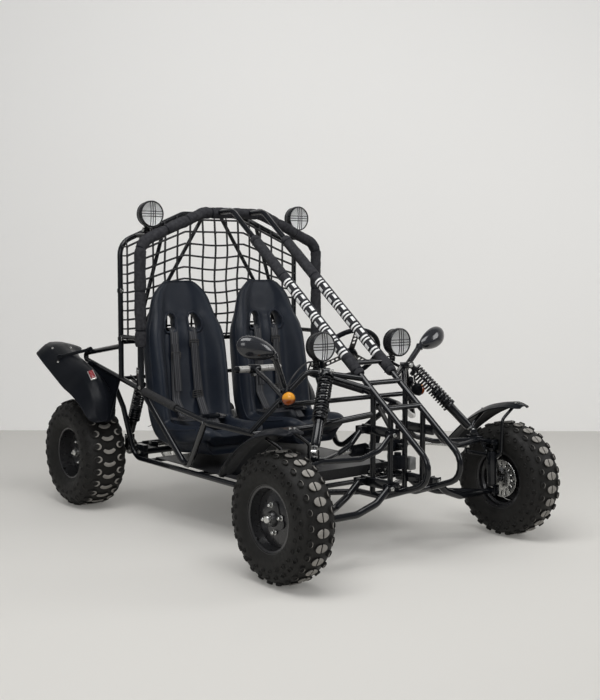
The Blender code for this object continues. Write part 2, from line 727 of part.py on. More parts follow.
def wishbone(name, s, upper):
    """A wishbone of two tubes from the inner eyes to one outer eye."""
    inner_x, inner_z = arm_point(s, 0, upper)
    outer_x, outer_z = arm_point(s, 1, upper)
    fork_x, fork_z = arm_point(s, 0.80, upper)
    fork_z -= 0 if upper else 0.018
    bows = UPPER_BOWS if upper else LOWER_BOWS
    solids = [rod(place(outer_x, -0.019, outer_z), place(outer_x, 0.019, outer_z), EYE_RADIUS, 12)]
    solids.append(rod(place(outer_x, 0, outer_z), place(fork_x, 0, fork_z), ARM_TUBE + 0.0008, 8))
    for y, low, high in ((-0.050, -0.064, -0.036), (0.140, 0.126, 0.154)):
        solids.append(rod(place(inner_x, low, inner_z), place(inner_x, high, inner_z), EYE_RADIUS, 12))
        leg = [place(inner_x, y, inner_z)]
        leg += [place(s * bow_x, y * share, bow_z) for bow_x, share, bow_z in bows]
        leg.append(place(fork_x, 0, fork_z))
        solids.append(tube(leg, ARM_TUBE, bend=0.08))
    if upper:
        _, foot, swing = shock_axes(s)
        turn = Matrix((swing, Vector((0, 0, 1)).cross(swing), Vector((0, 0, 1)))).transposed()
        foot_x = s * SHOCK_FOOT[0]
        solids.append(span(place(foot_x - 0.016, -0.009, 0.460), place(foot_x + 0.016, 0.070, 0.482)))
        for reach in (-0.0195, 0.0195):
            solids.append(block(foot + swing * reach - Vector((0, 0, 0.006)), (0.005, 0.026, 0.034), turn))
    node(name, solids, frame_black, origin=place(inner_x, 0, inner_z))


def front_corner(name, s):
    """Everything outboard of the frame on one side of the front axle."""
    wishbone(f"lower_arm_{name}", s, False)
    wishbone(f"upper_arm_{name}", s, True)

    low_x, low_z = arm_point(s, 1, False)
    high_x, high_z = arm_point(s, 1, True)
    low, high = place(low_x, 0, low_z), place(high_x, 0, high_z)
    line = (high - low).normalized()
    up = Vector((0, 0, 1))
    solids = [rod(low + line * 0.026, high - line * 0.026, 0.0125, 12)]
    for pivot, way in ((low, 1), (high, -1)):
        top = pivot + up * way * 0.0265
        solids.append(block(top, (0.030, 0.058, 0.009)))
        for reach in (-1, 1):
            middle = pivot + Vector((0, reach * 0.0255, way * 0.0055))
            solids.append(block(middle, (0.030, 0.007, 0.047)))
    node(f"kingpin_{name}", solids, frame_black, origin=low)

    axle_z = FRONT_TYRE_RADIUS
    barrel_low, barrel_high = low + line * 0.0335, high - line * 0.0335
    solids = [sleeve([barrel_low, barrel_high], 0.024, 0.0138, sides=14)]
    root = low + line * ((axle_z - low_z) / line.z)
    solids.append(rod(root + Vector((s * 0.017, 0, 0)), place(s * 0.712, 0, axle_z), 0.0115, 12))
    solids.append(rod(root + Vector((s * 0.016, 0, 0)), root + Vector((s * 0.032, 0, 0)), 0.0165, 12))
    heel = place(s * 0.540, 0.016, 0.386)
    solids.append(tube([heel, place(s * 0.520, 0.080, 0.390), place(s * 0.512, 0.116, 0.394)], 0.0095))
    solids.append(rod(place(s * 0.512, 0.112, 0.386), place(s * 0.512, 0.112, 0.403), 0.013))
    for y, bend_z, end_z in ((-0.050, 0.556, 0.608), (0.140, 0.512, 0.562)):
        lean = math.copysign(1, y)
        stay = [place(s * 0.562, lean * 0.012, 0.375), place(s * 0.567, lean * 0.048, 0.398),
                place(s * 0.567, y, bend_z), place(s * 0.640, y, end_z)]
        solids.append(tube(stay, 0.0075, bend=0.03, sides=6))
    pin = tube([low - line * 0.1, high + line * 0.1], 0.0138, sides=14)
    outline = ((-0.090, 0.619, 16, 0.010, 0.045), (-0.030, 0.629, 4, 0.018, 0.070),
               (0.070, 0.612, -15, 0.024, 0.082), (0.160, 0.572, -29, 0.025, 0.083),
               (0.250, 0.512, -41, 0.024, 0.082), (0.330, 0.438, -52, 0.018, 0.074),
               (0.372, 0.385, -58, 0.010, 0.060))
    shell = arched_shell(s, FRONT_TRACK_HALF, outline, 0.004, lambda share: abs(share) ** 2.2)
    node(f"knuckle_{name}", solids, frame_black, origin=low, cuts=[pin])
    node(f"front_fender_{name}", [shell], plastic_black, origin=low)


def tyre(name, x, y, radius, width, steps=20):
    """A tyre with a flat tread facet at its lowest place."""
    half = width / 2
    across = radius / math.cos(math.pi / steps)
    shoulder, wall = across - 0.022, RIM_SEAT_RADIUS + 0.60 * (across - RIM_SEAT_RADIUS)
    bead = RIM_SEAT_RADIUS + GAP
    profile = [
        (-half * 0.70, bead), (-half, wall - 0.02), (-half * 0.97, shoulder), (-half * 0.74, across),
        (half * 0.74, across), (half * 0.97, shoulder), (half, wall - 0.02), (half * 0.70, bead),
        (half * 0.52, bead), (half * 0.80, wall), (half * 0.62, shoulder - 0.004),
        (-half * 0.62, shoulder - 0.004), (-half * 0.80, wall), (-half * 0.52, bead),
    ]
    node(name, [turned(profile, place(x, y, radius), (1, 0, 0), steps)], tyre_rubber,
         origin=place(x, y, radius))


def rim(name, s, x, y, radius, width, bore):
    """A pressed steel rim: barrel, two flanges and a dished centre."""
    half = width / 2 * 0.70
    seat, lip, wall = RIM_SEAT_RADIUS, RIM_FLANGE_RADIUS, 0.004
    dish = 0.012
    profile = [
        (-half - 0.010, seat - wall), (-half - 0.010, lip), (-half - 0.0006, seat),
        (half + 0.0006, seat), (half + 0.010, lip), (half + 0.010, seat - wall),
        (dish + 0.003, seat - wall), (dish + 0.003, bore), (dish - 0.003, bore), (dish - 0.003, seat - wall),
    ]
    profile = [(along * s, radial) for along, radial in profile]
    node(name, [turned(profile, place(x, y, radius), (1, 0, 0), 20)], rim_black,
         origin=place(x, y, radius))


def front_wheel(name, s):
    x = s * FRONT_TRACK_HALF
    tyre(f"front_tyre_{name}", x, 0, FRONT_TYRE_RADIUS, FRONT_TYRE_WIDTH)
    rim(f"front_rim_{name}", s, x, 0, FRONT_TYRE_RADIUS, FRONT_TYRE_WIDTH, 0.0125)


def shock(spring_name, damper_name, top, foot, swing, share):
    """A coil spring on its rod above, and the damper body that slides into it below."""
    line = (foot - top).normalized()
    spring_end = (foot - top).length * share
    coils, inner, outer = 5, 0.0195, 0.0275
    profile = [(0.026, 0.010), (0.026, outer)]
    for index in range(coils):
        start = 0.026 + (spring_end - 0.026) * index / coils
        step = (spring_end - 0.026) / coils
        profile += [(start + step * 0.3, outer), (start + step * 0.8, outer - 0.006)]
    profile += [(spring_end, outer), (spring_end, inner), (0.032, inner), (0.032, 0.010)]
    coil = turned(profile, top, line, 10)
    cap = rod(top + line * 0.006, top + line * 0.034, 0.0125, 12)
    eye = rod(top - swing * 0.013, top + swing * 0.013, 0.0145, 12)
    piston = rod(top, top + line * spring_end * 0.78, 0.0065, 8)
    node(spring_name, [coil, cap, eye, piston], dark_steel, origin=top)
    body_top = top + line * (spring_end * 0.62)
    body = rod(body_top, foot - line * 0.026, 0.0170, 12)
    neck = rod(foot - line * 0.034, foot, 0.0095, 8)
    bore = rod(body_top - line * 0.1, foot - line * 0.055, 0.0085, 8)
    eye = rod(foot - swing * 0.0115, foot + swing * 0.0115, 0.0130, 12)
    node(damper_name, [body, eye, neck], frame_black, origin=foot, cuts=[bore])


def front_shocks():
    for name, s in SIDES:
        top, foot, swing = shock_axes(s)
        shock(f"front_spring_{name}", f"front_damper_{name}", top, foot, swing, 0.62)


def rear_shocks():
    for name, s in SIDES:
        top, foot = side(REAR_SHOCK_TOP, s), side(REAR_SHOCK_FOOT, s)
        shock(f"rear_spring_{name}", f"rear_damper_{name}", top, foot, Vector((1, 0, 0)), 0.66)


# Swing arm with the engine, and the live rear axle
def rear_drive():
    pivot_y, pivot_z = SWING_PIVOT
    axle_z = REAR_TYRE_RADIUS
    axle = place(0, WHEELBASE, axle_z)
    solids = [rod(place(-0.4225, pivot_y, pivot_z), place(0.4225, pivot_y, pivot_z), 0.017, 12)]
    solids.append(rod(place(-0.34, 1.665, 0.312), place(0.34, 1.665, 0.312), 0.013, 8))
    for x in ENGINE_SHELVES:
        solids.append(block(place(x, 1.60, 0.312), (0.030, 0.20, 0.012)))
    for s in (1, -1):
        solids.append(rod(place(s * 0.335, pivot_y, pivot_z), place(s * 0.335, 1.765, 0.283), 0.0145, 8))
        solids.append(rod(place(s * 0.318, WHEELBASE, axle_z), place(s * 0.352, WHEELBASE, axle_z),
                          0.042, 14))
        x = s * REAR_SHOCK_FOOT[0]
        for reach in (-0.0205, 0.0155):
            solids.append(span(place(x + reach, 1.672, 0.286),
                               place(x + reach + 0.005, 1.708, REAR_SHOCK_FOOT[2] + 0.014)))
        outer = s * (REAR_SHOCK_FOOT[0] + 0.019)
        solids.append(rod(place(s * 0.330, 1.690, 0.290), place(outer, 1.690, 0.290), 0.011, 8))
    cuts = [rod(axle - Vector((0.5, 0, 0)), axle + Vector((0.5, 0, 0)), 0.0175, 16)]
    node("swing_arm", solids, frame_black, origin=place(0, pivot_y, pivot_z), cuts=cuts)

    half = REAR_TRACK_HALF
    profile = [(-half - 0.030, 0), (-half - 0.030, 0.0120), (-half + 0.012, 0.0120),
               (-half + 0.012, 0.040), (-half + 0.022, 0.040), (-half + 0.022, 0.026),
               (-half + 0.075, 0.026), (-half + 0.075, 0.0155),
               (-0.0995, 0.0155), (-0.0995, 0.0955), (-0.0935, 0.0955), (-0.0935, 0.0155),
               (0.1535, 0.0155), (0.1535, 0.085), (0.1575, 0.085), (0.1575, 0.0155),
               (half - 0.075, 0.0155), (half - 0.075, 0.026), (half - 0.022, 0.026), (half - 0.022, 0.040),
               (half - 0.012, 0.040), (half - 0.012, 0.0120), (half + 0.030, 0.0120), (half + 0.030, 0)]
    node("rear_axle", [turned(profile, axle, (1, 0, 0), 12, closed=False)], dark_steel, origin=axle)
    for name, s in SIDES:
        x = s * half
        tyre(f"rear_tyre_{name}", x, WHEELBASE, REAR_TYRE_RADIUS, REAR_TYRE_WIDTH)
        rim(f"rear_rim_{name}", s, x, WHEELBASE, REAR_TYRE_RADIUS, REAR_TYRE_WIDTH, 0.0125)

    engine = span(place(-0.085, 1.505, 0.3185), place(0.150, 1.650, 0.470))
    lean = Matrix.Rotation(-0.25, 3, "X")
    cylinder = place(0.020, 1.545, 0.505)
    case = turned([(0, 0), (0, 0.062), (0.055, 0.070), (0.070, 0.055), (0.070, 0)],
                  place(0.148, 1.565, 0.395), (1, 0, 0), 14, closed=False)
    shaft = turned([(0, 0), (0, 0.010), (-0.0135, 0.010), (-0.0135, 0.0285), (-0.0195, 0.0285),
                    (-0.0195, 0.010), (-0.030, 0.010), (-0.030, 0)],
                   place(-0.080, *CHAIN_FRONT), (1, 0, 0), 12, closed=False)
    node("engine", [engine, block(cylinder, (0.125, 0.150, 0.125), lean), case, shaft], cast_alloy,
         origin=place(0, pivot_y, pivot_z))
    muffler = rod(place(0.207, 1.665, 0.442), place(0.268, 1.985, 0.470), 0.050, 14)
    pipe = tube([place(0.211, 1.690, 0.447), place(0.180, 1.620, 0.490), place(0.0835, 1.550, 0.520)], 0.012)
    lug = rod(place(0.196, 1.685, 0.425), place(0.196, 1.685, 0.3190), 0.010, 8)
    node("muffler", [muffler, pipe, lug], dark_steel, origin=place(0, pivot_y, pivot_z),
         cuts=[block(cylinder, (0.1258, 0.1508, 0.1258), lean)])
    drive_chain(axle)


def drive_chain(axle):
    """The chain as a band round the engine's sprocket and the axle's, with the sprocket's hub."""
    back = Vector((CHAIN_X, axle.y, axle.z))
    front = place(CHAIN_X, *CHAIN_FRONT)
    outer, inner = [], []
    for centre, radius, start in ((back, 0.1085, -1), (front, 0.040, 1)):
        way = (back - front).normalized() * (1 if start < 0 else -1)
        up = Vector((1, 0, 0)).cross(way)
        for step in range(9):
            angle = math.pi * (step / 8 - 0.5)
            outward = way * math.cos(angle) + up * math.sin(angle)
            outer.append(centre + outward * radius)
            inner.append(centre + outward * (radius - 0.0095))
    rings = []
    for out_point, in_point in zip(outer, inner):
        wide = Vector((0.006, 0, 0))
        rings.append([out_point - wide, out_point + wide, in_point + wide, in_point - wide])
    node("drive_chain", [skin(rings, closed=True)], dark_steel, origin=back)


# Pedals, lamps and mirrors
def pedals():
    for name, x in zip(("brake_pedal", "throttle_pedal"), PEDAL_PLACES):
        pivot = place(x, PEDAL_Y + 0.003, 0.303)
        hub = rod(pivot - Vector((0.0225, 0, 0)), pivot + Vector((0.0225, 0, 0)), 0.009, 10)
        lever = tube([pivot, pivot + Vector((0, 0.012, 0.060)), pivot + Vector((0, -0.012, 0.135))], 0.006)
        pad = block(pivot + Vector((0, -0.004, 0.140)), (0.060, 0.007, 0.062), Matrix.Rotation(0.30, 3, "X"))
        node(name, [hub, lever, pad], plastic_black, origin=pivot)


def lamp_fork(foot):
    """Two small plates that hold a lamp's lug between them."""
    plates = [span(foot + Vector((-0.016, -0.010, -0.015)), foot + Vector((0.016, 0.010, -0.0095)))]
    for x in (-0.016, 0.011):
        plates.append(span(foot + Vector((x, -0.010, -0.015)), foot + Vector((x + 0.005, 0.010, 0.012))))
    return plates


def lamp(name, foot):
    """A round work lamp on a lug that tilts in its fork."""
    centre = foot + Vector((0, -0.020, 0.078))
    deep, wide = LAMP_DEPTH / 2, LAMP_RADIUS
    profile = [(-deep - 0.006, 0), (-deep - 0.006, wide - 0.010), (-deep, wide), (-deep + 0.014, wide),
               (-deep + 0.018, wide - 0.004), (0.010, wide - 0.010), (deep - 0.014, wide - 0.028),
               (deep, wide - 0.048), (deep, 0)]
    bowl = turned(profile, centre, (0, 1, 0), 18, closed=False)
    hub = rod(foot - Vector((0.0105, 0, 0)), foot + Vector((0.0105, 0, 0)), 0.008, 10)
    neck = span(foot + Vector((-0.007, -0.007, 0)), foot + Vector((0.007, 0.007, 0.050)))
    node(name, [bowl, hub, neck], lamp_black, origin=foot)


def lamps():
    for name, s in SIDES:
        lamp(f"roof_lamp_{name}", side(ROOF_LAMP_FOOT, s))
        lamp(f"front_lamp_{name}", side(FRONT_LAMP_FOOT, s))


def mirrors():
    for name, s in SIDES:
        foot = side((0.352, 0.3820, 0.719), s)
        post = foot + Vector((0, 0.012, 0))
        head = side((0.522, 0.373, 0.907), s)
        knuckle = rod(foot + Vector((0, GAP, 0)), foot + Vector((0, 0.024, 0)), 0.014, 10)
        stalk = tube([post, post + Vector((s * 0.030, -0.006, 0.070)),
                      head + Vector((s * -0.085, -0.010, -0.032)),
                      head + Vector((s * -0.055, -0.010, -0.012))], 0.0115, bend=0.03)
        outline = []
        for index in range(16):
            angle = s * 2 * math.pi * index / 16
            up = 0.049 * math.sin(angle) * (1 + 0.22 * math.cos(angle))
            outline.append((s * 0.095 * math.cos(angle), up))
        rings = []
        turn = Matrix.Rotation(s * math.radians(9.5), 3, "Z") @ Matrix.Rotation(s * math.radians(-16), 3, "Y")
        for depth, share in ((-0.042, 0.35), (-0.034, 0.68), (-0.020, 0.91), (-0.004, 1.0), (0.008, 1.0)):
            rings.append([head + turn @ Vector((out * share, depth, up * share)) for out, up in outline])
        node(f"mirror_{name}", [knuckle, stalk, skin(rings)], plastic_black, origin=foot)


main_frame()
nose_frame()
side_frames()
roll_cage()
pillar_pads()
rear_net()
seats()
rear_fenders()
floor_pan()
grab_bar()
steering()
for side_name, side_sign in SIDES:
    front_corner(side_name, side_sign)
    front_wheel(side_name, side_sign)
front_shocks()
rear_shocks()
rear_drive()
pedals()
lamps()
mirrors()
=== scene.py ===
# %% [markdown]
# # A two-seat off-road buggy
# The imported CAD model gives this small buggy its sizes, its places and its moving bodies. This
# lesson gives it its looks: a cage of glossy black tube, blue-black bucket seats, long coil shocks
# and four knobbly tyres. Most pieces are modelled with the same operators as by hand.

# %% Load the CAD model
import json
import math

import bmesh
import bpy
from mathutils import Matrix, Vector


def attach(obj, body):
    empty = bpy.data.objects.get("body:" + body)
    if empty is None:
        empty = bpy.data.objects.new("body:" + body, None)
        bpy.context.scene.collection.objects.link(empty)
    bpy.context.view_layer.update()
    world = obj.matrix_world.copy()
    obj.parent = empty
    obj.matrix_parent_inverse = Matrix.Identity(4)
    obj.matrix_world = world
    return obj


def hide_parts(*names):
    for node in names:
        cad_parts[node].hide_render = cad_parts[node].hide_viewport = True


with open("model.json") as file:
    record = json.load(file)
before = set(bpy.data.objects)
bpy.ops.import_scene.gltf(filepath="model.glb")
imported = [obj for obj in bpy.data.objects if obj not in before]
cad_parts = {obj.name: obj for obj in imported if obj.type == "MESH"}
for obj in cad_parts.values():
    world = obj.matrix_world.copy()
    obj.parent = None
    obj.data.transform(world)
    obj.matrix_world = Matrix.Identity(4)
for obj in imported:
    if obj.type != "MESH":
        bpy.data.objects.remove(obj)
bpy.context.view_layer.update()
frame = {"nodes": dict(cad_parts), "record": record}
SIDES = (("left", 1), ("right", -1))
FULL_TURN = 2 * math.pi

# %% [markdown]
# ## Places
# A buggy is measured from its front axle, so places here are the distance to the left, the distance
# back from the front axle and the height. The model's own origin lies under its middle, and one
# small function shifts a place there. The driving sizes are the same as in the CAD.

# %% Sizes and places
FRONT_AXLE_Y = -0.9165
WHEELBASE = 1.8
FRONT_TRACK_HALF, REAR_TRACK_HALF = 0.667, 0.612
FRONT_RADIUS, REAR_RADIUS = 0.267, 0.279
TUBE, SMALL_TUBE, HOOP_TUBE = 0.0135, 0.0115, 0.016
RAIL_HALF, RAIL_Z = 0.455, 0.268
SIDE_HALF, HOOP_HALF = 0.55, 0.552
SHOULDER_Z, TOP_HALF, TOP_Z = 1.372, 0.18, 1.527
MAIN_HOOP_Y, REAR_HOOP_Y = 1.305, 1.504
PILLAR_HALF, PILLAR_SLOPE = 0.095, 0.762
NOSE_TIP, NOSE_FLOOR = (-0.326, 0.395), (0.03, 0.268)
ARM_PIVOT_Z, ARM_PIVOT_HALF, ARM_REACH, ARM_DROP = 0.325, 0.137, 0.425, 0.108
UPPER_RISE, KINGPIN_LEAN = 0.227, 0.01
SHOCK_TOP, SHOCK_FOOT = (0.249, 0.228, 0.806), (0.47, 0.04, 0.5)
REAR_SHOCK_TOP, REAR_SHOCK_FOOT = (0.405, 1.56, 0.64), (0.405, 1.69, 0.352)
RACK = (0.17, 0.455)
WHEEL_CENTRE, COLUMN_FOOT = (0.25, 0.66, 0.83), (0.125, 0.178, 0.466)
SEAT_HALF_GAP = 0.262


def at(x, y, z):
    """A place from its distance to the left, its distance behind the front axle and its height."""
    return Vector((x, y + FRONT_AXLE_Y, z))


# %% [markdown]
# ## A few tools
# Every operator acts on what is selected, so each tool first picks its own piece. A finished piece
# has its modifiers applied and its place inside its mesh, as the CAD nodes have.

# %% Tools for picking, joining and finishing
def pick(*pieces):
    """Selects these pieces alone, the first one active."""
    bpy.ops.object.select_all(action="DESELECT")
    for piece in pieces:
        piece.select_set(True)
    bpy.context.view_layer.objects.active = pieces[0]
    return pieces[0]


def settle(piece):
    """Applies a piece's modifiers and its place."""
    pick(piece)
    for modifier in list(piece.modifiers):
        bpy.ops.object.modifier_apply(modifier=modifier.name)
    bpy.ops.object.transform_apply(location=True, rotation=True, scale=True)
    return piece


def smooth(piece, angle=38):
    """Smooth shading that keeps edges sharper than an angle."""
    pick(piece)
    bpy.ops.object.shade_smooth_by_angle(angle=math.radians(angle))
    return piece


def bevel(piece, width, segments=2):
    """Bevels a piece's edges."""
    edges = piece.modifiers.new("edges", "BEVEL")
    edges.width = width
    edges.segments = segments


def thicken(piece, thickness, offset=0):
    """Gives a sheet its thickness."""
    wall = piece.modifiers.new("wall", "SOLIDIFY")
    wall.thickness = thickness
    wall.offset = offset


def drill(piece, rods):
    """Cuts holes where the rods are."""
    cutter = join("cutter", rods)
    cut = piece.modifiers.new("holes", "BOOLEAN")
    cut.object = cutter
    return cutter


def close_mesh():
    """Turns all faces of the piece in edit mode out, and leaves edit mode."""
    bpy.ops.mesh.select_all(action="SELECT")
    bpy.ops.mesh.normals_make_consistent(inside=False)
    bpy.ops.object.mode_set(mode="OBJECT")


def extrude_all(way):
    """Extrudes the whole flat piece in hand by a vector."""
    bpy.ops.object.mode_set(mode="EDIT")
    bpy.ops.mesh.select_all(action="SELECT")
    bpy.ops.mesh.extrude_region_move(TRANSFORM_OT_translate={"value": way})


def tilt(degrees, axis="X"):
    """A turn round an axis."""
    return Matrix.Rotation(math.radians(degrees), 3, axis)


def both_sides(make):
    """Calls a function for the left and the right side."""
    for name, s in SIDES:
        make(name, s)


def join(name, pieces):
    """Makes one piece of several settled ones."""
    if len(pieces) > 1:
        pick(*pieces)
        bpy.ops.object.join()
    pieces[0].name = name
    return pieces[0]


def fit(piece, finish, body, *nodes):
    """Gives a piece its finish and its body, and hides the CAD nodes that it stands for."""
    settle(piece)
    piece.data.materials.clear()
    piece.data.materials.append(finish)
    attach(piece, body)
    if nodes:
        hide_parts(*nodes)
    return piece


def copy_of(piece, matrix):
    """A copy with its own mesh, moved by a matrix."""
    made = piece.copy()
    made.data = piece.data.copy()
    made.data.transform(matrix)
    if matrix.determinant() < 0:
        made.data.flip_normals()
    bpy.context.scene.collection.objects.link(made)
    return made


# %% [markdown]
# ## Tubes, turned shapes and slabs
# Three tools make most of the frame. A bent tube is a curve with a round bevel, made a mesh. A
# turned shape is a circle whose points are moved to a profile and spun round an axis. A slab is a
# cube with its edges bevelled.

# %% Bent tubes
def rounded(points, bend, steps=6):
    """The route with an arc in place of each corner."""
    route = [Vector(points[0])]
    for before, corner, after in zip(points, points[1:], points[2:]):
        back, ahead = (before - corner).normalized(), (after - corner).normalized()
        turn = math.pi - back.angle(ahead)
        if turn < 0.02:
            continue
        longest = 0.48 * min((before - corner).length, (after - corner).length)
        radius = min(bend, longest / math.tan(turn / 2))
        centre = corner + (back + ahead).normalized() * radius / math.cos(turn / 2)
        start = corner + back * radius * math.tan(turn / 2) - centre
        axis = start.cross(corner + ahead * radius * math.tan(turn / 2) - centre).normalized()
        for step in range(steps + 1):
            route.append(centre + Matrix.Rotation(turn * step / steps, 3, axis) @ start)
    route.append(Vector(points[-1]))
    return route


def tubes(radius, *routes, bend=0.05, sides=4):
    """Round bars along routes, as one mesh. Sides is the curve's bevel resolution."""
    bpy.ops.curve.primitive_nurbs_path_add()
    piece = bpy.context.object
    curve = piece.data
    curve.splines.clear()
    curve.bevel_depth = radius
    curve.bevel_resolution = sides
    curve.use_fill_caps = True
    for route in routes:
        points = rounded([Vector(point) for point in route], bend)
        spline = curve.splines.new("POLY")
        spline.points.add(len(points) - 1)
        for target, point in zip(spline.points, points):
            target.co = (*point, 1)
    bpy.ops.object.convert(target="MESH")
    return smooth(bpy.context.object, 50)


# %% Turned shapes, slabs and bolts
def spun(profile, centre, axis=(1, 0, 0), steps=48, closed=True):
    """A profile of (distance along the axis, radius) spun round the axis."""
    bpy.ops.mesh.primitive_circle_add(vertices=len(profile), fill_type="NOTHING")
    piece = bpy.context.object
    axis, centre = Vector(axis).normalized(), Vector(centre)
    out = axis.orthogonal().normalized()
    for vertex, (along, radius) in zip(piece.data.vertices, profile):
        vertex.co = centre + axis * along + out * radius
    bpy.ops.object.mode_set(mode="EDIT")
    if not closed:
        shape = bmesh.from_edit_mesh(piece.data)
        shape.verts.ensure_lookup_table()
        last = shape.edges.get((shape.verts[0], shape.verts[len(profile) - 1]))
        bmesh.ops.delete(shape, geom=[last], context="EDGES")
        bmesh.update_edit_mesh(piece.data)
    bpy.ops.mesh.select_all(action="SELECT")
    bpy.ops.mesh.spin(steps=steps, angle=FULL_TURN, center=centre, axis=axis)
    bpy.ops.mesh.select_all(action="SELECT")
    bpy.ops.mesh.remove_doubles(threshold=0.00002)
    bpy.ops.mesh.normals_make_consistent(inside=False)
    bpy.ops.object.mode_set(mode="OBJECT")
    return smooth(piece)


def slab(centre, size, turn=None, edge=0.0015):
    """A box with bevelled edges, turned by a matrix if one is given."""
    bpy.ops.mesh.primitive_cube_add(size=1, location=centre)
    piece = bpy.context.object
    piece.rotation_euler = (turn or Matrix.Identity(3)).to_euler()
    piece.scale = size
    bpy.ops.object.transform_apply(location=True, rotation=True, scale=True)
    bevel(piece, edge)
    settle(piece)
    return smooth(piece, 30)


def slab_between(low, high, edge=0.0015):
    """A bevelled box from its lowest to its highest corner."""
    low, high = Vector(low), Vector(high)
    return slab((low + high) / 2, high - low, edge=edge)


def rod(start, end, radius, steps=20):
    """A straight round bar with a small chamfer at each end."""
    start, end = Vector(start), Vector(end)
    length, cut = (end - start).length, min(0.001, radius * 0.3)
    profile = [(0, 0), (0, radius - cut), (cut, radius), (length - cut, radius), (length, radius - cut),
        (length, 0)]
    return spun(profile, start, end - start, steps, closed=False)


def bolt(place, way, across=0.016):
    """A hexagon head on its washer, seen from its head."""
    way = Vector(way).normalized()
    bpy.ops.mesh.primitive_cylinder_add(vertices=6, radius=across / 2, depth=across * 0.42)
    head = bpy.context.object
    bevel(head, across * 0.05)
    settle(head)
    turn = way.to_track_quat("Z", "Y").to_matrix().to_4x4()
    head.data.transform(Matrix.Translation(Vector(place) + way * across * 0.29) @ turn)
    washer = rod(Vector(place), Vector(place) + way * across * 0.1, across * 0.62, 18)
    return join("bolt", [smooth(head, 30), washer])


# %% [markdown]
# ## Finishes
# Nearly everything here is black, so the buggy reads through its gloss. Powder-coated tube is wet
# and mirror-like with a faint orange peel, foam is dull and grey, vinyl has a fine grain and a
# broad sheen, moulded plastic lies between them, and rubber is dull, its tread tops painted pale:
# partly wear, partly a painted highlight.

# %% Tools for materials
def finish(name, slot, colour, rough, metal=0.0):
    """A new material with its shader and slot name."""
    made = bpy.data.materials.new(name)
    made.use_nodes = True
    made["slot"] = slot
    shader = made.node_tree.nodes["Principled BSDF"]
    shader.inputs["Base Color"].default_value = (*colour, 1)
    shader.inputs["Roughness"].default_value = rough
    shader.inputs["Metallic"].default_value = metal
    return made


def add_node(made, kind, **settings):
    """A node in a material, with its input values set by name."""
    node = made.node_tree.nodes.new(kind)
    for name, value in settings.items():
        node.inputs[name.replace("_", " ")].default_value = value
    return node


def wire(made, source, target):
    made.node_tree.links.new(source, target)


def object_place(made):
    """The Object coordinates of the piece."""
    return add_node(made, "ShaderNodeTexCoord").outputs["Object"]


def noise(made, scale, detail=2.0, place=None):
    """Noise at a number of cells a metre."""
    node = add_node(made, "ShaderNodeTexNoise", Scale=scale, Detail=detail)
    wire(made, place or object_place(made), node.inputs["Vector"])
    return node.outputs["Fac"]


def ramp(made, value, *stops):
    """Colours or greys along a value. Each stop is a position and a colour or a grey."""
    node = add_node(made, "ShaderNodeValToRGB")
    bands = node.color_ramp.elements
    while len(bands) < len(stops):
        bands.new(0.5)
    for band, (position, colour) in zip(bands, stops):
        band.position = position
        band.color = (*colour, 1) if hasattr(colour, "__len__") else (colour, colour, colour, 1)
    wire(made, value, node.inputs["Fac"])
    return node.outputs["Color"]


def bumps(made, *layers):
    """Layers of bump, each a height and how deep it is in metres."""
    normal = None
    for height, depth in layers:
        node = add_node(made, "ShaderNodeBump", Strength=1.0, Distance=depth)
        wire(made, height, node.inputs["Height"])
        if normal:
            wire(made, normal, node.inputs["Normal"])
        normal = node.outputs["Normal"]
    wire(made, normal, made.node_tree.nodes["Principled BSDF"].inputs["Normal"])


def set_input(made, name, value):
    """Sets an input of the shader to a number, or wires something to it."""
    socket = made.node_tree.nodes["Principled BSDF"].inputs[name]
    if isinstance(value, bpy.types.NodeSocket):
        wire(made, value, socket)
    else:
        socket.default_value = value


def blotchy(made, name, cells, detail, *stops):
    """Drives an input of the shader by noise through a ramp."""
    set_input(made, name, ramp(made, noise(made, cells, detail), *stops))


# %% Paint, metal and plastic
frame_paint = finish("frame_paint", "frame_black", (0.01, 0.011, 0.014), 0.2)
set_input(frame_paint, "Specular IOR Level", 0.28)
blotchy(frame_paint, "Base Color", 9, 2, (0.35, (0.004, 0.0045, 0.006)), (0.75, (0.007, 0.008, 0.01)))
blotchy(frame_paint, "Roughness", 26, 4, (0.3, 0.11), (0.8, 0.24))
set_input(frame_paint, "Coat Weight", 0.25)
set_input(frame_paint, "Coat Roughness", 0.08)
bumps(frame_paint, (noise(frame_paint, 420, 1), 0.00012))

rim_paint = finish("rim_paint", "rim_black", (0.014, 0.014, 0.015), 0.32)
blotchy(rim_paint, "Roughness", 60, 4, (0.3, 0.24), (0.8, 0.42))
set_input(rim_paint, "Coat Weight", 0.25)
bumps(rim_paint, (noise(rim_paint, 500, 1), 0.0001))

moulded = finish("moulded", "plastic_black", (0.017, 0.018, 0.021), 0.42)
set_input(moulded, "Specular IOR Level", 0.1)
blotchy(moulded, "Base Color", 7, 2, (0.3, (0.005, 0.006, 0.008)), (0.8, (0.009, 0.01, 0.013)))
blotchy(moulded, "Roughness", 40, 4, (0.3, 0.28), (0.8, 0.44))
bumps(moulded, (noise(moulded, 1500, 1), 0.00012))

zinc = finish("zinc", "bright_steel", (0.6, 0.6, 0.58), 0.3, 1.0)
blotchy(zinc, "Roughness", 120, 4, (0.3, 0.2), (0.8, 0.42))

cast = finish("cast", "cast_alloy", (0.34, 0.34, 0.34), 0.5, 0.85)
blotchy(cast, "Base Color", 30, 4, (0.3, (0.22, 0.22, 0.22)), (0.8, (0.42, 0.42, 0.41)))
bumps(cast, (noise(cast, 700, 2), 0.0003))

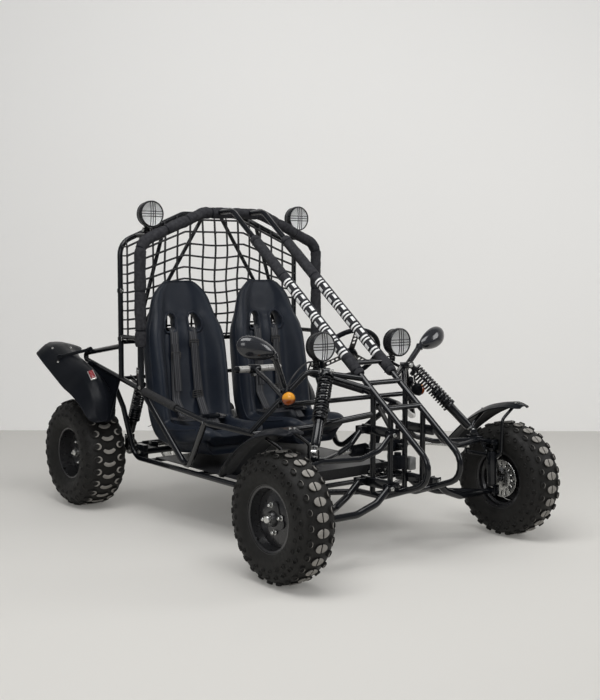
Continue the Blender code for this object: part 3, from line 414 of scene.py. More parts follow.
dark_metal = finish("dark_metal", "dark_steel", (0.05, 0.05, 0.05), 0.42, 0.7)
blotchy(dark_metal, "Base Color", 45, 4, (0.3, (0.035, 0.035, 0.036)), (0.8, (0.1, 0.095, 0.09)))
blotchy(dark_metal, "Roughness", 90, 4, (0.3, 0.3), (0.8, 0.55))

silver = finish("silver", "silver_tube", (0.62, 0.61, 0.58), 0.3, 0.55)
blotchy(silver, "Roughness", 80, 4, (0.3, 0.25), (0.8, 0.4))

floor_plate = finish("floor_plate", "floor_steel", (0.02, 0.02, 0.022), 0.4, 0.2)
checks = add_node(floor_plate, "ShaderNodeTexVoronoi", Scale=55.0)
wire(floor_plate, object_place(floor_plate), checks.inputs["Vector"])
bumps(floor_plate, (ramp(floor_plate, checks.outputs["Distance"], (0.1, 1.0), (0.35, 0.0)), 0.0012))

lamp_shell = finish("lamp_shell", "lamp_black", (0.013, 0.013, 0.014), 0.3)
set_input(lamp_shell, "Specular IOR Level", 0.3)
blotchy(lamp_shell, "Roughness", 70, 3, (0.3, 0.24), (0.8, 0.36))
bumps(lamp_shell, (noise(lamp_shell, 900, 1), 0.00008))
print("metal and plastic finishes ready")

# %% Cloth, vinyl, foam and rubber
vinyl = finish("vinyl", "seat_vinyl", (0.01, 0.014, 0.023), 0.42)
set_input(vinyl, "Specular IOR Level", 0.28)
blotchy(vinyl, "Base Color", 5, 2, (0.3, (0.006, 0.009, 0.016)), (0.8, (0.01, 0.015, 0.025)))
blotchy(vinyl, "Roughness", 24, 3, (0.3, 0.36), (0.8, 0.52))
grain = add_node(vinyl, "ShaderNodeTexVoronoi", Scale=520.0)
wire(vinyl, object_place(vinyl), grain.inputs["Vector"])
bumps(vinyl, (grain.outputs["Distance"], 0.0003), (noise(vinyl, 90, 3), 0.0004))
set_input(vinyl, "Sheen Weight", 0.02)

foam = finish("foam", "foam_grey", (0.045, 0.046, 0.05), 0.85)
blotchy(foam, "Base Color", 60, 4, (0.3, (0.018, 0.018, 0.021)), (0.8, (0.045, 0.045, 0.049)))
set_input(foam, "Specular IOR Level", 0.2)
bumps(foam, (noise(foam, 900, 2), 0.0004), (noise(foam, 40, 2), 0.002))

cord_black = finish("cord_black", "net_cord", (0.014, 0.014, 0.015), 0.7)
bumps(cord_black, (noise(cord_black, 1200, 1), 0.0004))


def tread_rubber(name, axle, radius):
    """Black rubber whose tread tops, far out from the axle, are painted pale: partly wear, partly a painted
    highlight.
    """
    made = finish(name, "tyre_rubber", (0.03, 0.029, 0.027), 0.7)
    shift = add_node(made, "ShaderNodeMapping", Location=(0, -axle.y, -axle.z), Scale=(0, 1, 1))
    wire(made, object_place(made), shift.inputs["Vector"])
    length = add_node(made, "ShaderNodeVectorMath")
    length.operation = "LENGTH"
    wire(made, shift.outputs["Vector"], length.inputs[0])
    scaled = add_node(made, "ShaderNodeMapRange", From_Min=radius - 0.01, From_Max=radius)
    wire(made, length.outputs["Value"], scaled.inputs["Value"])
    # Painted highlight and wear: the tread's outermost few millimetres are painted pale grey.
    wear_and_painted_highlight = ramp(made, scaled.outputs["Result"], (0.0, (0.015, 0.0145, 0.0135)),
        (0.55, (0.02, 0.019, 0.018)), (0.8, (0.3, 0.285, 0.26)))
    dust = ramp(made, noise(made, 30, 5), (0.35, 0.85), (0.75, 1.25))
    mixed = add_node(made, "ShaderNodeMix")
    mixed.data_type = "RGBA"
    mixed.blend_type = "MULTIPLY"
    mixed.inputs["Factor"].default_value = 1.0
    wire(made, wear_and_painted_highlight, mixed.inputs["A"])
    wire(made, dust, mixed.inputs["B"])
    set_input(made, "Base Color", mixed.outputs["Result"])
    blotchy(made, "Roughness", 55, 4, (0.3, 0.5), (0.8, 0.72))
    set_input(made, "Specular IOR Level", 0.2)
    bumps(made, (noise(made, 800, 2), 0.00025))
    return made


front_rubber = tread_rubber("front_rubber", at(0, 0, FRONT_RADIUS), FRONT_RADIUS)
rear_rubber = tread_rubber("rear_rubber", at(0, WHEELBASE, REAR_RADIUS), REAR_RADIUS)
print("soft finishes ready")

# %% [markdown]
# ## The frame
# The frame is welded from bent round tube. Nearly every route below is the centre line that the CAD
# uses, so a tube here lies over its CAD solid and gains round sides and smooth bends. The tail
# struts alone are straighter than in the CAD, as the photograph shows them.

# %% Routes that several pieces share
def pillar_z(y):
    """Height of a pillar's line at a distance behind the front axle."""
    return NOSE_TIP[1] + PILLAR_SLOPE * (y - NOSE_TIP[0])


def nose_floor_z(y):
    """Height of a pillar's return under the nose."""
    share = min(max((y - NOSE_TIP[0]) / (NOSE_FLOOR[0] - NOSE_TIP[0]), 0), 1)
    return NOSE_TIP[1] + (NOSE_FLOOR[1] - NOSE_TIP[1]) * share


def hoop_route(y, low):
    """A hoop with upright legs, sloping shoulders and a flat top."""
    half = [(HOOP_HALF, low), (HOOP_HALF, SHOULDER_Z), (TOP_HALF, TOP_Z)]
    return [at(-x, y, z) for x, z in half] + [at(x, y, z) for x, z in reversed(half)]


def side_bar_route(s):
    """The side bar from the nose round the cabin to the tail and back to the rear hoop."""
    return [at(s * PILLAR_HALF, 0.1, 0.62), at(s * 0.3, 0.275, 0.562), at(s * 0.48, 0.45, 0.527),
        at(s * 0.575, 0.66, 0.557), at(s * 0.58, 0.98, 0.606), at(s * SIDE_HALF, 1.32, 0.65),
        at(s * SIDE_HALF, 1.99, 0.776), at(s * SIDE_HALF, 1.515, 0.85)]


def rail_route(s):
    """The floor rail from the tail strut along the cabin to the nose."""
    return [at(s * (SIDE_HALF - 0.004), 1.64, 0.707), at(s * 0.497, 1.588, 0.528),
        at(s * RAIL_HALF, 1.548, RAIL_Z), at(s * RAIL_HALF, 0.62, RAIL_Z), at(s * 0.25, 0.27, RAIL_Z),
        at(s * 0.1, 0.188, RAIL_Z - 0.002)]


def across(half, y, z):
    """A straight cross tube."""
    return [at(-half, y, z), at(half, y, z)]


# %% Main frame
def main_frame():
    pieces = [tubes(TUBE, rail_route(1), rail_route(-1), bend=0.07)]
    crosses = [across(0.3, 0.36, RAIL_Z), across(RAIL_HALF, 0.95, RAIL_Z), across(RAIL_HALF, 1.4, RAIL_Z)]
    pieces.append(tubes(SMALL_TUBE, *crosses))
    runs = [[at(s * 0.235, 0.36, RAIL_Z), at(s * 0.235, 1.4, RAIL_Z)] for s in (1, -1)]
    pieces.append(tubes(SMALL_TUBE - 0.001, *runs, across(0.529, 1.633, 0.672)))
    lean = Matrix.Rotation(math.atan2(0.672 - REAR_SHOCK_TOP[2], 1.633 - REAR_SHOCK_TOP[1]), 3, "X")
    for s in (1, -1):
        pieces.append(slab_between(at(s * 0.438 - 0.014, 1.462, RAIL_Z),
            at(s * 0.438 + 0.014, 1.538, 0.338)))
        for reach in (-0.018, 0.018):
            middle = at(s * REAR_SHOCK_TOP[0] + reach, (1.633 + REAR_SHOCK_TOP[1]) / 2, 0.656)
            pieces.append(slab(middle, (0.005, 0.105, 0.024), lean))
    for x in (0.148, 0.248):
        for low in (-0.03, 0.0235):
            pieces.append(slab_between(at(x + low, 0.35, 0.272), at(x + low + 0.0065, 0.376, 0.314)))
    fit(join("main_frame_tubes", pieces), frame_paint, "chassis", "main_frame")


main_frame()
print("main frame ready")

# %% Nose frame
def bracket(s, pivot_x, pivot_z, base_x):
    """The channel that holds one wishbone's two inner eyes."""
    def piece(x_a, y_a, z_a, x_b, y_b, z_b):
        return slab_between(at(min(s * x_a, s * x_b), y_a, z_a), at(max(s * x_a, s * x_b), y_b, z_b))
    made = [piece(base_x - 0.01, -0.072, pivot_z - 0.021, base_x + 0.003, 0.162, pivot_z + 0.021)]
    for y in (-0.072, -0.033, 0.118, 0.157):
        made.append(piece(base_x, y, pivot_z - 0.016, pivot_x + 0.016, y + 0.005, pivot_z + 0.016))
    return made


def lamp_fork(foot):
    """Two small plates on a foot that hold a lamp's lug."""
    made = [slab_between(foot + Vector((-0.016, -0.01, -0.015)), foot + Vector((0.016, 0.01, -0.0095)),
        0.001)]
    for x in (-0.016, 0.011):
        made.append(slab_between(foot + Vector((x, -0.01, -0.015)), foot + Vector((x + 0.005, 0.01, 0.012)),
            0.001))
    return made


def tower_route(s):
    """The tube that carries a front shock."""
    return [at(s * PILLAR_HALF, 0.165, pillar_z(0.165)), at(s * 0.29, 0.312, 0.803),
        at(s * 0.492, 0.463, 0.529)]


def swing_axis(s):
    """The axis that a front shock swings about, worked out from its foot's travel."""
    top, foot = at(s * SHOCK_TOP[0], *SHOCK_TOP[1:]), at(s * SHOCK_FOOT[0], *SHOCK_FOOT[1:])
    pivot = at(s * (ARM_PIVOT_HALF - KINGPIN_LEAN), SHOCK_FOOT[1], ARM_PIVOT_Z + UPPER_RISE)
    raised = pivot + Matrix.Rotation(-s * math.radians(12), 3, "Y") @ (foot - pivot)
    return (foot - top).cross(raised - top).normalized()


def nose_frame():
    pillars, crosses, floors, uprights, towers, braces = [], [], [], [], [], []
    pieces = []
    for s in (1, -1):
        pillars.append([at(s * PILLAR_HALF, MAIN_HOOP_Y - 0.01, TOP_Z + 0.002),
            at(s * PILLAR_HALF, 1.17, TOP_Z + 0.008), at(s * PILLAR_HALF, *NOSE_TIP),
            at(s * PILLAR_HALF, *NOSE_FLOOR), at(s * PILLAR_HALF, 0.205, NOSE_FLOOR[1] - 0.002)])
        uprights += [[at(s * PILLAR_HALF, y, nose_floor_z(y)),
            at(s * PILLAR_HALF, y, pillar_z(y))] for y in (-0.012, 0.1)]
        towers.append(tower_route(s))
        braces.append([at(s * PILLAR_HALF, 0.108, pillar_z(0.108)), at(s * 0.255, 0.282, 0.792)])
        pieces += bracket(s, ARM_PIVOT_HALF, ARM_PIVOT_Z, 0.107)
        pieces += bracket(s, ARM_PIVOT_HALF - KINGPIN_LEAN, ARM_PIVOT_Z + UPPER_RISE, 0.1035)
        swing = swing_axis(s)
        back = swing if swing.y > 0 else -swing
        up = Vector((0, 0, 1))
        inward = up.cross(back) * s
        top = at(s * SHOCK_TOP[0], *SHOCK_TOP[1:])
        pieces.append(slab(top + back * 0.0195 + inward * 0.0165 - up * 0.003, (0.006, 0.063, 0.028),
            Matrix((back, inward, up)).transposed()))
        pieces.append(slab_between(at(s * PILLAR_HALF - 0.012, 0.095, RACK[1] - 0.014),
            at(s * PILLAR_HALF + 0.012, RACK[0] - 0.0205, RACK[1] + 0.014)))
        foot = at(s * 0.228, 0.338, 0.83)
        pieces.append(rod(at(s * 0.228, 0.268, 0.792), foot - up * 0.018, 0.007))
        pieces += lamp_fork(foot)
        pieces.append(rod(at(s * 0.352, 0.358, 0.719), at(s * 0.352, 0.3815, 0.719), 0.009))
    crosses = [across(PILLAR_HALF, y, pillar_z(y) + 0.006) for y in (0.24, 0.134, 0.006)]
    floors = [across(PILLAR_HALF, y, nose_floor_z(y)) for y in (-0.07, 0.1)]
    pieces.append(tubes(TUBE, *pillars, bend=0.08, sides=5))
    pieces.append(tubes(TUBE - 0.001, *uprights))
    pieces.append(tubes(TUBE - 0.0005, *towers, bend=0.06))
    pieces.append(tubes(SMALL_TUBE, *crosses, *floors, *braces, across(0.404, 0.376, 0.652)))
    foot, hub = at(*COLUMN_FOOT), at(*WHEEL_CENTRE)
    line = (hub - foot).normalized()
    bearing = foot + line * ((0.376 - COLUMN_FOOT[1]) / line.y)
    pieces.append(spun([(-0.018, 0.0128), (-0.018, 0.023), (-0.016, 0.024), (0.016, 0.024), (0.018, 0.023),
        (0.018, 0.0128)], bearing, line, 24))
    fit(join("nose_frame_tubes", pieces), frame_paint, "chassis", "nose_frame")


nose_frame()
print("nose frame ready")

# %% Side frames and roll cage
def side_frame(name, s):
    brace = [at(s * 0.555, 1.29, 0.646), at(s * 0.47, 1.01, 0.283), at(s * 0.578, 0.69, 0.561)]
    pieces = [tubes(TUBE, side_bar_route(s), bend=0.02, sides=5),
        tubes(SMALL_TUBE + 0.0035, brace, bend=0.06)]
    fit(join(f"side_tubes_{name}", pieces), frame_paint, "chassis", f"side_frame_{name}")


def roll_cage():
    hoop = tubes(HOOP_TUBE, hoop_route(MAIN_HOOP_Y, 0.655), bend=0.09, sides=5)
    hoop.name = "main_hoop_tube"
    fit(hoop, frame_paint, "chassis", "main_hoop")
    pieces = [tubes(TUBE, hoop_route(REAR_HOOP_Y, 0.69), bend=0.09, sides=5)]
    links, braces = [across(HOOP_HALF, REAR_HOOP_Y, 0.872)], []
    for s in (1, -1):
        for x, z in ((HOOP_HALF, 0.9), (0.462, 1.409), (0.12, TOP_Z)):
            links.append([at(s * x, REAR_HOOP_Y, z), at(s * x, MAIN_HOOP_Y, z)])
        for x, z in ((0.05, TOP_Z), (0.285, 1.483)):
            braces.append([at(s * 0.47, REAR_HOOP_Y, 0.872), at(s * x, REAR_HOOP_Y, z)])
        foot = at(s * 0.46, 1.4, 1.436)
        pieces.append(rod(Vector((foot.x, foot.y, 1.409)), foot - Vector((0, 0, 0.011)), 0.007))
        pieces += lamp_fork(foot)
    pieces += [tubes(SMALL_TUBE, *links), tubes(SMALL_TUBE - 0.0015, *braces)]
    fit(join("rear_hoop_tubes", pieces), frame_paint, "chassis", "rear_hoop")


both_sides(side_frame)
roll_cage()
print("roll cage ready")

# %% [markdown]
# ## Wishbones
# Each wishbone is two bent tubes that run from the inner eyes to one outer eye. On the buggy the
# eyes carry a rubber bush; here each eye is a plain barrel, and its bolts come with the brackets and the
# uprights.

# %% Front wishbones
LOWER_BOWS = ((0.205, 0.98, 0.268), (0.305, 0.76, 0.232))
UPPER_BOWS = ((0.188, 0.98, 0.492), (0.29, 0.78, 0.462))


def arm_place(share, upper):
    """Distance out and height of a point along a wishbone, 0 at its inner pivot and 1 at its outer one."""
    x = ARM_PIVOT_HALF + ARM_REACH * share - (KINGPIN_LEAN if upper else 0)
    return x, ARM_PIVOT_Z - ARM_DROP * share + (UPPER_RISE if upper else 0)


def wishbone(name, s, upper):
    inner_x, inner_z = arm_place(0, upper)
    outer_x, outer_z = arm_place(1, upper)
    fork_x, fork_z = arm_place(0.8, upper)
    fork_z -= 0 if upper else 0.018
    bows = UPPER_BOWS if upper else LOWER_BOWS
    pieces = [rod(at(s * outer_x, -0.019, outer_z), at(s * outer_x, 0.019, outer_z), 0.0145)]
    pieces.append(rod(at(s * outer_x, 0, outer_z), at(s * fork_x, 0, fork_z), 0.0123))
    legs = []
    for y, low, high in ((-0.05, -0.064, -0.036), (0.14, 0.126, 0.154)):
        pieces.append(rod(at(s * inner_x, low, inner_z), at(s * inner_x, high, inner_z), 0.0145))
        legs.append([at(s * inner_x, y, inner_z), *(at(s * x, y * share, z) for x, share, z in bows),
            at(s * fork_x, 0, fork_z)])
    pieces.append(tubes(0.0115 if upper else 0.0155, *legs, bend=0.08))
    if upper:
        swing, up = swing_axis(s), Vector((0, 0, 1))
        foot = at(s * SHOCK_FOOT[0], *SHOCK_FOOT[1:])
        turn = Matrix((swing, up.cross(swing), up)).transposed()
        pieces.append(slab_between(at(s * 0.47 - 0.016, -0.009, 0.46), at(s * 0.47 + 0.016, 0.07, 0.482)))
        for reach in (-0.0195, 0.0195):
            pieces.append(slab(foot + swing * reach - up * 0.006, (0.005, 0.026, 0.034), turn))
    kind = "upper" if upper else "lower"
    fit(join(f"{kind}_wishbone_{name}", pieces), frame_paint, f"wishbone_{kind}_{name}",
        f"{kind}_arm_{name}")


for name, s in SIDES:
    for upper in (False, True):
        wishbone(name, s, upper)
print("wishbones ready")

# %% [markdown]
# ## Tyres
# The tyres are the loudest thing on the buggy. The casing is one spun profile. Three kinds of
# rubber block stand on it: split blocks down the middle of the tread, hollow ovals on its edge and
# small rings on the shoulder. One sector with its blocks is made and copied round the wheel.

# %% Casing and blocks
def casing(radius, half):
    """The tyre without its blocks, round the origin."""
    low = 0.1275
    tall = radius - 0.0095 - low
    outer = [(0.7, 0.0), (0.84, 0.1), (0.95, 0.24), (1.0, 0.42), (0.99, 0.6), (0.93, 0.76), (0.82, 0.885),
        (0.62, 0.965), (0.32, 0.992), (0.0, 1.0)]
    half_profile = [(half * across_share, low + tall * up_share) for across_share, up_share in outer]
    ring = half_profile + [(-along, up) for along, up in reversed(half_profile[:-1])]
    wall = 0.007
    inner = [(along * (1 - wall / half), up - (wall if up > low + 0.02 else -0.0005)) for along,
        up in reversed(ring)]
    return spun(ring + inner, (0, 0, 0), (1, 0, 0), 96)


def oval_block(length, width, tall, hollow, split=False):
    """An oval block that stands on the plane z = 0, hollow in its top. Its split argument is not used."""
    bpy.ops.mesh.primitive_cylinder_add(vertices=20, radius=0.5, depth=1)
    piece = bpy.context.object
    bpy.ops.object.mode_set(mode="EDIT")
    shape = bmesh.from_edit_mesh(piece.data)
    for face in shape.faces:
        face.select = face.normal.z > 0.9
    bmesh.update_edit_mesh(piece.data)
    bpy.ops.mesh.inset(thickness=0.12)
    if hollow:
        bpy.ops.mesh.inset(thickness=0.09)
        bpy.ops.transform.translate(value=(0, 0, -hollow / tall))
    bpy.ops.object.mode_set(mode="OBJECT")
    for vertex in piece.data.vertices:
        if vertex.co.z > 0 and vertex.co.xy.length > 0.45:
            vertex.co.z -= 0.18
    piece.data.transform(Matrix.Translation((0, 0, 0.5)))
    piece.data.transform(Matrix.Diagonal((width, length, tall, 1)))
    return piece


def half_block(length, width, tall, s):
    """One half of a split block: half an oval with its flat side to the middle of the tread."""
    bpy.ops.mesh.primitive_cylinder_add(vertices=24, radius=0.5, depth=1)
    piece = bpy.context.object
    bpy.ops.object.mode_set(mode="EDIT")
    bpy.ops.mesh.select_all(action="SELECT")
    bpy.ops.mesh.bisect(plane_co=(s * 0.06, 0, 0), plane_no=(-s, 0, 0), clear_outer=True, use_fill=True)
    close_mesh()
    piece.data.transform(Matrix.Translation((0, 0, 0.5)))
    piece.data.transform(Matrix.Diagonal((width, length, tall, 1)))
    bevel(piece, 0.0022)
    return settle(piece)


def smile_block(width, thick, tall):
    """A curved bar like a smile, from a row of boxes bridged along an arc."""
    route, steps = [], 8
    for step in range(steps + 1):
        angle = math.radians(-62 + 124 * step / steps)
        route.append(Vector((width * 0.57 * math.sin(angle), width * 0.42 * (1 - math.cos(angle)), 0)))
    bpy.ops.mesh.primitive_plane_add(size=1)
    piece = bpy.context.object
    shape = bmesh.new()
    rows = []
    for index, place in enumerate(route):
        share = abs(index / steps - 0.5) * 2
        reach = thick / 2 * (1 - 0.35 * share ** 3)
        along = route[min(index + 1, steps)] - route[max(index - 1, 0)]
        side = Vector((-along.y, along.x, 0)).normalized() * reach
        rows.append([shape.verts.new(place + side * way + Vector((0, 0, up))) for way,
            up in ((-1, 0), (1, 0), (0.9, tall), (-0.9, tall))])
    for row, following in zip(rows, rows[1:]):
        for index in range(4):
            shape.faces.new((row[index], row[(index + 1) % 4], following[(index + 1) % 4],
                following[index]))
    shape.faces.new(rows[0])
    shape.faces.new(rows[-1][::-1])
    bmesh.ops.recalc_face_normals(shape, faces=shape.faces)
    shape.to_mesh(piece.data)
    shape.free()
    bevel(piece, 0.0025)
    return settle(piece)


def stand(block, radius, x, tilt, turn):
    """Stands a block on the tread: out along x, tilted towards the side wall, turned round the axle."""
    block.data.transform(Matrix.Rotation(tilt, 4, "Y"))
    block.data.transform(Matrix.Translation((x, 0, radius)))
    block.data.transform(Matrix.Rotation(turn, 4, "X"))
    return block


def tyre(radius, half, count, blocks):
    """A whole tyre round the origin: its casing and its sector of blocks copied round."""
    pitch = FULL_TURN / count
    sector = join("sector", blocks(radius, half, pitch))
    smooth(sector, 32)
    copies = [copy_of(sector, Matrix.Rotation(pitch * index, 4, "X")) for index in range(1, count)]
    return join("tyre", [casing(radius, half), sector, *copies])


def front_blocks(radius, half, pitch):
    made = [stand(half_block(0.037, 0.056, 0.011, s), radius - 0.011, 0, 0, 0) for s in (1, -1)]
    for s in (1, -1):
        made.append(stand(oval_block(0.031, 0.022, 0.011, 0.005), radius - 0.0155, s * 0.052, s * 0.38,
            pitch * 0.6))
        made.append(stand(oval_block(0.024, 0.019, 0.012, 0.006), radius - 0.043, s * 0.0745, s * 0.98,
            pitch * 0.2))
        made.append(stand(oval_block(0.022, 0.017, 0.007, 0.003), radius - 0.067, s * 0.0825, s * 1.35,
            pitch * 0.7))
    return made


def rear_blocks(radius, half, pitch):
    made = [stand(smile_block(0.06, 0.022, 0.011), radius - 0.011, 0, 0, 0)]
    for s in (1, -1):
        made.append(stand(oval_block(0.036, 0.044, 0.012, 0.004), radius - 0.0145, s * 0.062, s * 0.26,
            pitch * 0.5))
        made.append(stand(oval_block(0.034, 0.034, 0.011, 0.005), radius - 0.04, s * 0.097, s * 0.82,
            pitch * 0.05))
        made.append(stand(oval_block(0.024, 0.02, 0.007, 0.003), radius - 0.075, s * 0.113, s * 1.35,
            pitch * 0.6))
    return made


# %% Four tyres
front_tyre = tyre(FRONT_RADIUS, 0.086, 27, front_blocks)
rear_tyre = tyre(REAR_RADIUS, 0.118, 26, rear_blocks)
for name, s in SIDES:
    for kind, template, track, y, radius, rubber, body in (("front", front_tyre, FRONT_TRACK_HALF, 0,
            FRONT_RADIUS, front_rubber, f"front_wheel_{name}"), ("rear", rear_tyre, REAR_TRACK_HALF,
            WHEELBASE, REAR_RADIUS, rear_rubber, "rear_wheels")):
        made = copy_of(template, Matrix.Translation(at(s * track, y, radius)))
        made.name = f"{kind}_knobbly_tyre_{name}"
        fit(made, rubber, body, f"{kind}_tyre_{name}")
for template in (front_tyre, rear_tyre):
    print("tyre faces", len(template.data.polygons))
    bpy.data.objects.remove(template)

# %% [markdown]
# ## Rims, hubs and front corners
# A pressed steel rim is a spun barrel with a bead seat, a drop in its middle and a rolled lip. The
# wheel disc sits 35 mm inside the lip. Four domed nuts hold it to a lobed hub, with a cap over the
# stub axle. Behind it are a brake disc, the steered knuckle and the upright.

# %% Rims
def rim(half, disc_x, name, s, centre, body):
    """A barrel and a disc. Distances are from the tyre's middle, positive outwards."""
    outer = [(-half - 0.01, 0.137), (-half - 0.0105, 0.1412), (-half - 0.0075, 0.1425),
        (-half - 0.0052, 0.1395), (-half - 0.0012, 0.1274), (-half + 0.014, 0.1268), (-half + 0.02, 0.117),
        (disc_x - 0.02, 0.113), (disc_x - 0.012, 0.116), (half - 0.012, 0.1268), (half + 0.0012, 0.1274),
        (half + 0.0052, 0.1395), (half + 0.0075, 0.1425), (half + 0.0105, 0.1412), (half + 0.01, 0.137)]
    inner = [(half + 0.0068, 0.1365), (half + 0.0035, 0.125), (half - 0.0115, 0.1235),
        (disc_x - 0.01, 0.1125), (disc_x - 0.02, 0.1095), (-half + 0.022, 0.1135), (-half + 0.015, 0.1235),
        (-half - 0.003, 0.1245), (-half - 0.0068, 0.1365)]
    barrel = spun([(along * s, up) for along, up in outer + inner], centre, (1, 0, 0), 72)
    plate = [(-0.004, 0.1128), (-0.004, 0.104), (0.001, 0.088), (0.003, 0.07), (0.006, 0.062),
        (0.006, 0.0135), (0.01, 0.0135), (0.01, 0.064), (0.007, 0.073), (0.005, 0.09), (0.0, 0.106),
        (0.0, 0.1128)]
    disc = spun([((along + disc_x) * s, up) for along, up in plate], centre, (1, 0, 0), 72)
    valve = rod(centre + Vector((s * (half - 0.006), 0.078, -0.092)),
        centre + Vector((s * (half + 0.012), 0.074, -0.088)), 0.004, 12)
    fit(join(f"{name}_wheel_rim", [barrel, disc, valve]), rim_paint, body, f"{name}")


def hub(s, centre, face, name, body, cap):
    """A lobed hub plate with four studs, on the wheel disc's outer face."""
    bpy.ops.mesh.primitive_cylinder_add(vertices=64, radius=1, depth=0.007)
    plate = bpy.context.object
    for vertex in plate.data.vertices:
        angle = math.atan2(vertex.co.y, vertex.co.x)
        reach = 0.062 + 0.011 * math.cos(4 * angle)
        vertex.co.xy = vertex.co.xy.normalized() * reach
    bevel(plate, 0.0012)
    settle(plate)
    turn = Matrix.Rotation(math.radians(90), 4, "Y") @ Matrix.Rotation(math.radians(12), 4, "Z")
    plate.data.transform(Matrix.Translation(centre + Vector((s * (face + 0.004), 0, 0))) @ turn)
    boss = spun([(0, 0.034), (0.01 * s, 0.031), (0.02 * s, 0.024), (0.02 * s, 0.012), (0, 0.012)],
        centre + Vector((s * (face + 0.005), 0, 0)), (1, 0, 0), 32)
    smooth(plate, 30)
    fit(join(f"{name}_hub", [plate, boss]), rim_paint, body)
    nuts = []
    for index in range(4):
        angle = math.radians(12 + 90 * index)
        foot = centre + Vector((s * (face + 0.007), 0.054 * math.sin(angle), 0.054 * math.cos(angle)))
        head = bolt(foot, (s, 0, 0), 0.019)
        dome = spun([(0, 0.0085), (0.006, 0.0078), (0.01, 0.0045), (0.0115, 0)],
            foot + Vector((s * 0.007, 0, 0)), (s, 0, 0), 16, closed=False)
        nuts += [head, dome]
    tip = centre + Vector((s * (face + 0.024), 0, 0))
    nuts.append(spun([(0, 0.0175), (cap * 0.7, 0.0165), (cap * 0.92, 0.013), (cap, 0)], tip, (s, 0, 0), 32,
        closed=False))
    fit(join(f"{name}_nuts", nuts), zinc, body)


for name, s in SIDES:
    centre = at(s * FRONT_TRACK_HALF, 0, FRONT_RADIUS)
    rim(0.0602, 0.028, f"front_rim_{name}", s, centre, f"front_wheel_{name}")
    hub(s, centre, 0.036, f"front_{name}", f"front_wheel_{name}", 0.02)
    centre = at(s * REAR_TRACK_HALF, WHEELBASE, REAR_RADIUS)
    rim(0.0826, 0.02, f"rear_rim_{name}", s, centre, "rear_wheels")
    hub(s, centre, 0.028, f"rear_{name}", "rear_wheels", 0.016)
print("rims and hubs ready")

# %% Brake discs
def brake_disc(name, x, centre, radius, body, *nodes):
    """A thin steel disc with a row of round holes, on its carrier."""
    profile = [(-0.002, radius * 0.52), (-0.002, radius - 0.001), (-0.001, radius), (0.001, radius),
        (0.002, radius - 0.001), (0.002, radius * 0.52)]
    disc = spun(profile, centre + Vector((x, 0, 0)), (1, 0, 0), 60)
    carrier = spun([(-0.006, 0.014), (-0.006, radius * 0.5), (-0.001, radius * 0.62),
        (0.001, radius * 0.62), (-0.002, radius * 0.48), (-0.002, 0.014)], centre + Vector((x, 0, 0)), (1,
        0, 0), 32)
    holes = []
    for index in range(16):
        angle = FULL_TURN * index / 16
        foot = centre + Vector((x, radius * 0.8 * math.cos(angle), radius * 0.8 * math.sin(angle)))
        holes.append(rod(foot - Vector((0.05, 0, 0)), foot + Vector((0.05, 0, 0)), 0.0042, 10))
    cutter = drill(disc, holes)
    settle(disc)
    bpy.data.objects.remove(cutter)
    fit(join(name, [disc, carrier]), zinc, body, *nodes)


for name, s in SIDES:
    brake_disc(f"front_brake_disc_{name}", s * -0.042, at(s * FRONT_TRACK_HALF, 0, FRONT_RADIUS), 0.088,
        f"front_wheel_{name}")
print("brake discs ready")


# %% Uprights and knuckles
def front_corner(name, s):
    low = at(s * arm_place(1, False)[0], 0, arm_place(1, False)[1])
    high = at(s * arm_place(1, True)[0], 0, arm_place(1, True)[1])
    line, up = (high - low).normalized(), Vector((0, 0, 1))
    pieces = [rod(low + line * 0.026, high - line * 0.026, 0.0125)]
    for pivot, way in ((low, 1), (high, -1)):
        pieces.append(slab(pivot + up * way * 0.0265, (0.03, 0.058, 0.009)))
        for reach in (-1, 1):
            pieces.append(slab(pivot + Vector((0, reach * 0.0255, way * 0.0055)), (0.03, 0.007, 0.047)))
            pieces.append(bolt(pivot + Vector((0, reach * 0.029, 0)), (0, reach, 0), 0.016))
    fit(join(f"upright_link_{name}", pieces), frame_paint, f"upright_{name}", f"kingpin_{name}")

    barrel = spun([(0, 0.0138), (0, 0.0235), (0.0015, 0.024), (0.153, 0.024), (0.1545, 0.0235),
        (0.1545, 0.0138)], low + line * 0.0335, line, 28)
    root = low + line * ((FRONT_RADIUS - low.z) / line.z)
    pieces = [barrel, rod(root + Vector((s * 0.016, 0, 0)), root + Vector((s * 0.034, 0, 0)), 0.0185),
        rod(root + Vector((s * 0.017, 0, 0)), at(s * 0.712, 0, FRONT_RADIUS), 0.0115)]
    pieces.append(tubes(0.0095, [at(s * 0.54, 0.016, 0.386), at(s * 0.52, 0.08, 0.39),
        at(s * 0.512, 0.116, 0.394)]))
    pieces.append(rod(at(s * 0.512, 0.112, 0.386), at(s * 0.512, 0.112, 0.403), 0.013))
    stays = []
    for y, bend_z, end_z in ((-0.05, 0.556, 0.608), (0.14, 0.512, 0.562)):
        lean = math.copysign(1, y)
        stays.append([at(s * 0.562, lean * 0.012, 0.375), at(s * 0.567, lean * 0.048, 0.398),
            at(s * 0.567, y, bend_z), at(s * 0.64, y, end_z)])
    pieces.append(tubes(0.0075, *stays, bend=0.03))
    fit(join(f"steered_knuckle_{name}", pieces), frame_paint, f"steer_knuckle_{name}", f"knuckle_{name}")

    caliper = slab(at(s * 0.622, 0.062, FRONT_RADIUS + 0.052), (0.04, 0.05, 0.056), tilt(-40), 0.006)
    plate = slab(at(s * 0.604, 0.034, FRONT_RADIUS + 0.03), (0.006, 0.075, 0.03), tilt(40), 0.002)
    fit(join(f"front_caliper_{name}", [caliper, plate]), dark_metal, f"steer_knuckle_{name}")


both_sides(front_corner)
print("front corners ready")

# %% [markdown]
# ## Coil shocks
# A coil shock is a steel spring round a damper. The spring is one wire along a helix, so it is made
# as a tube on a route of short steps. It sits between a cap at the top eye and a threaded collar,
# and the damper below slides up inside it.

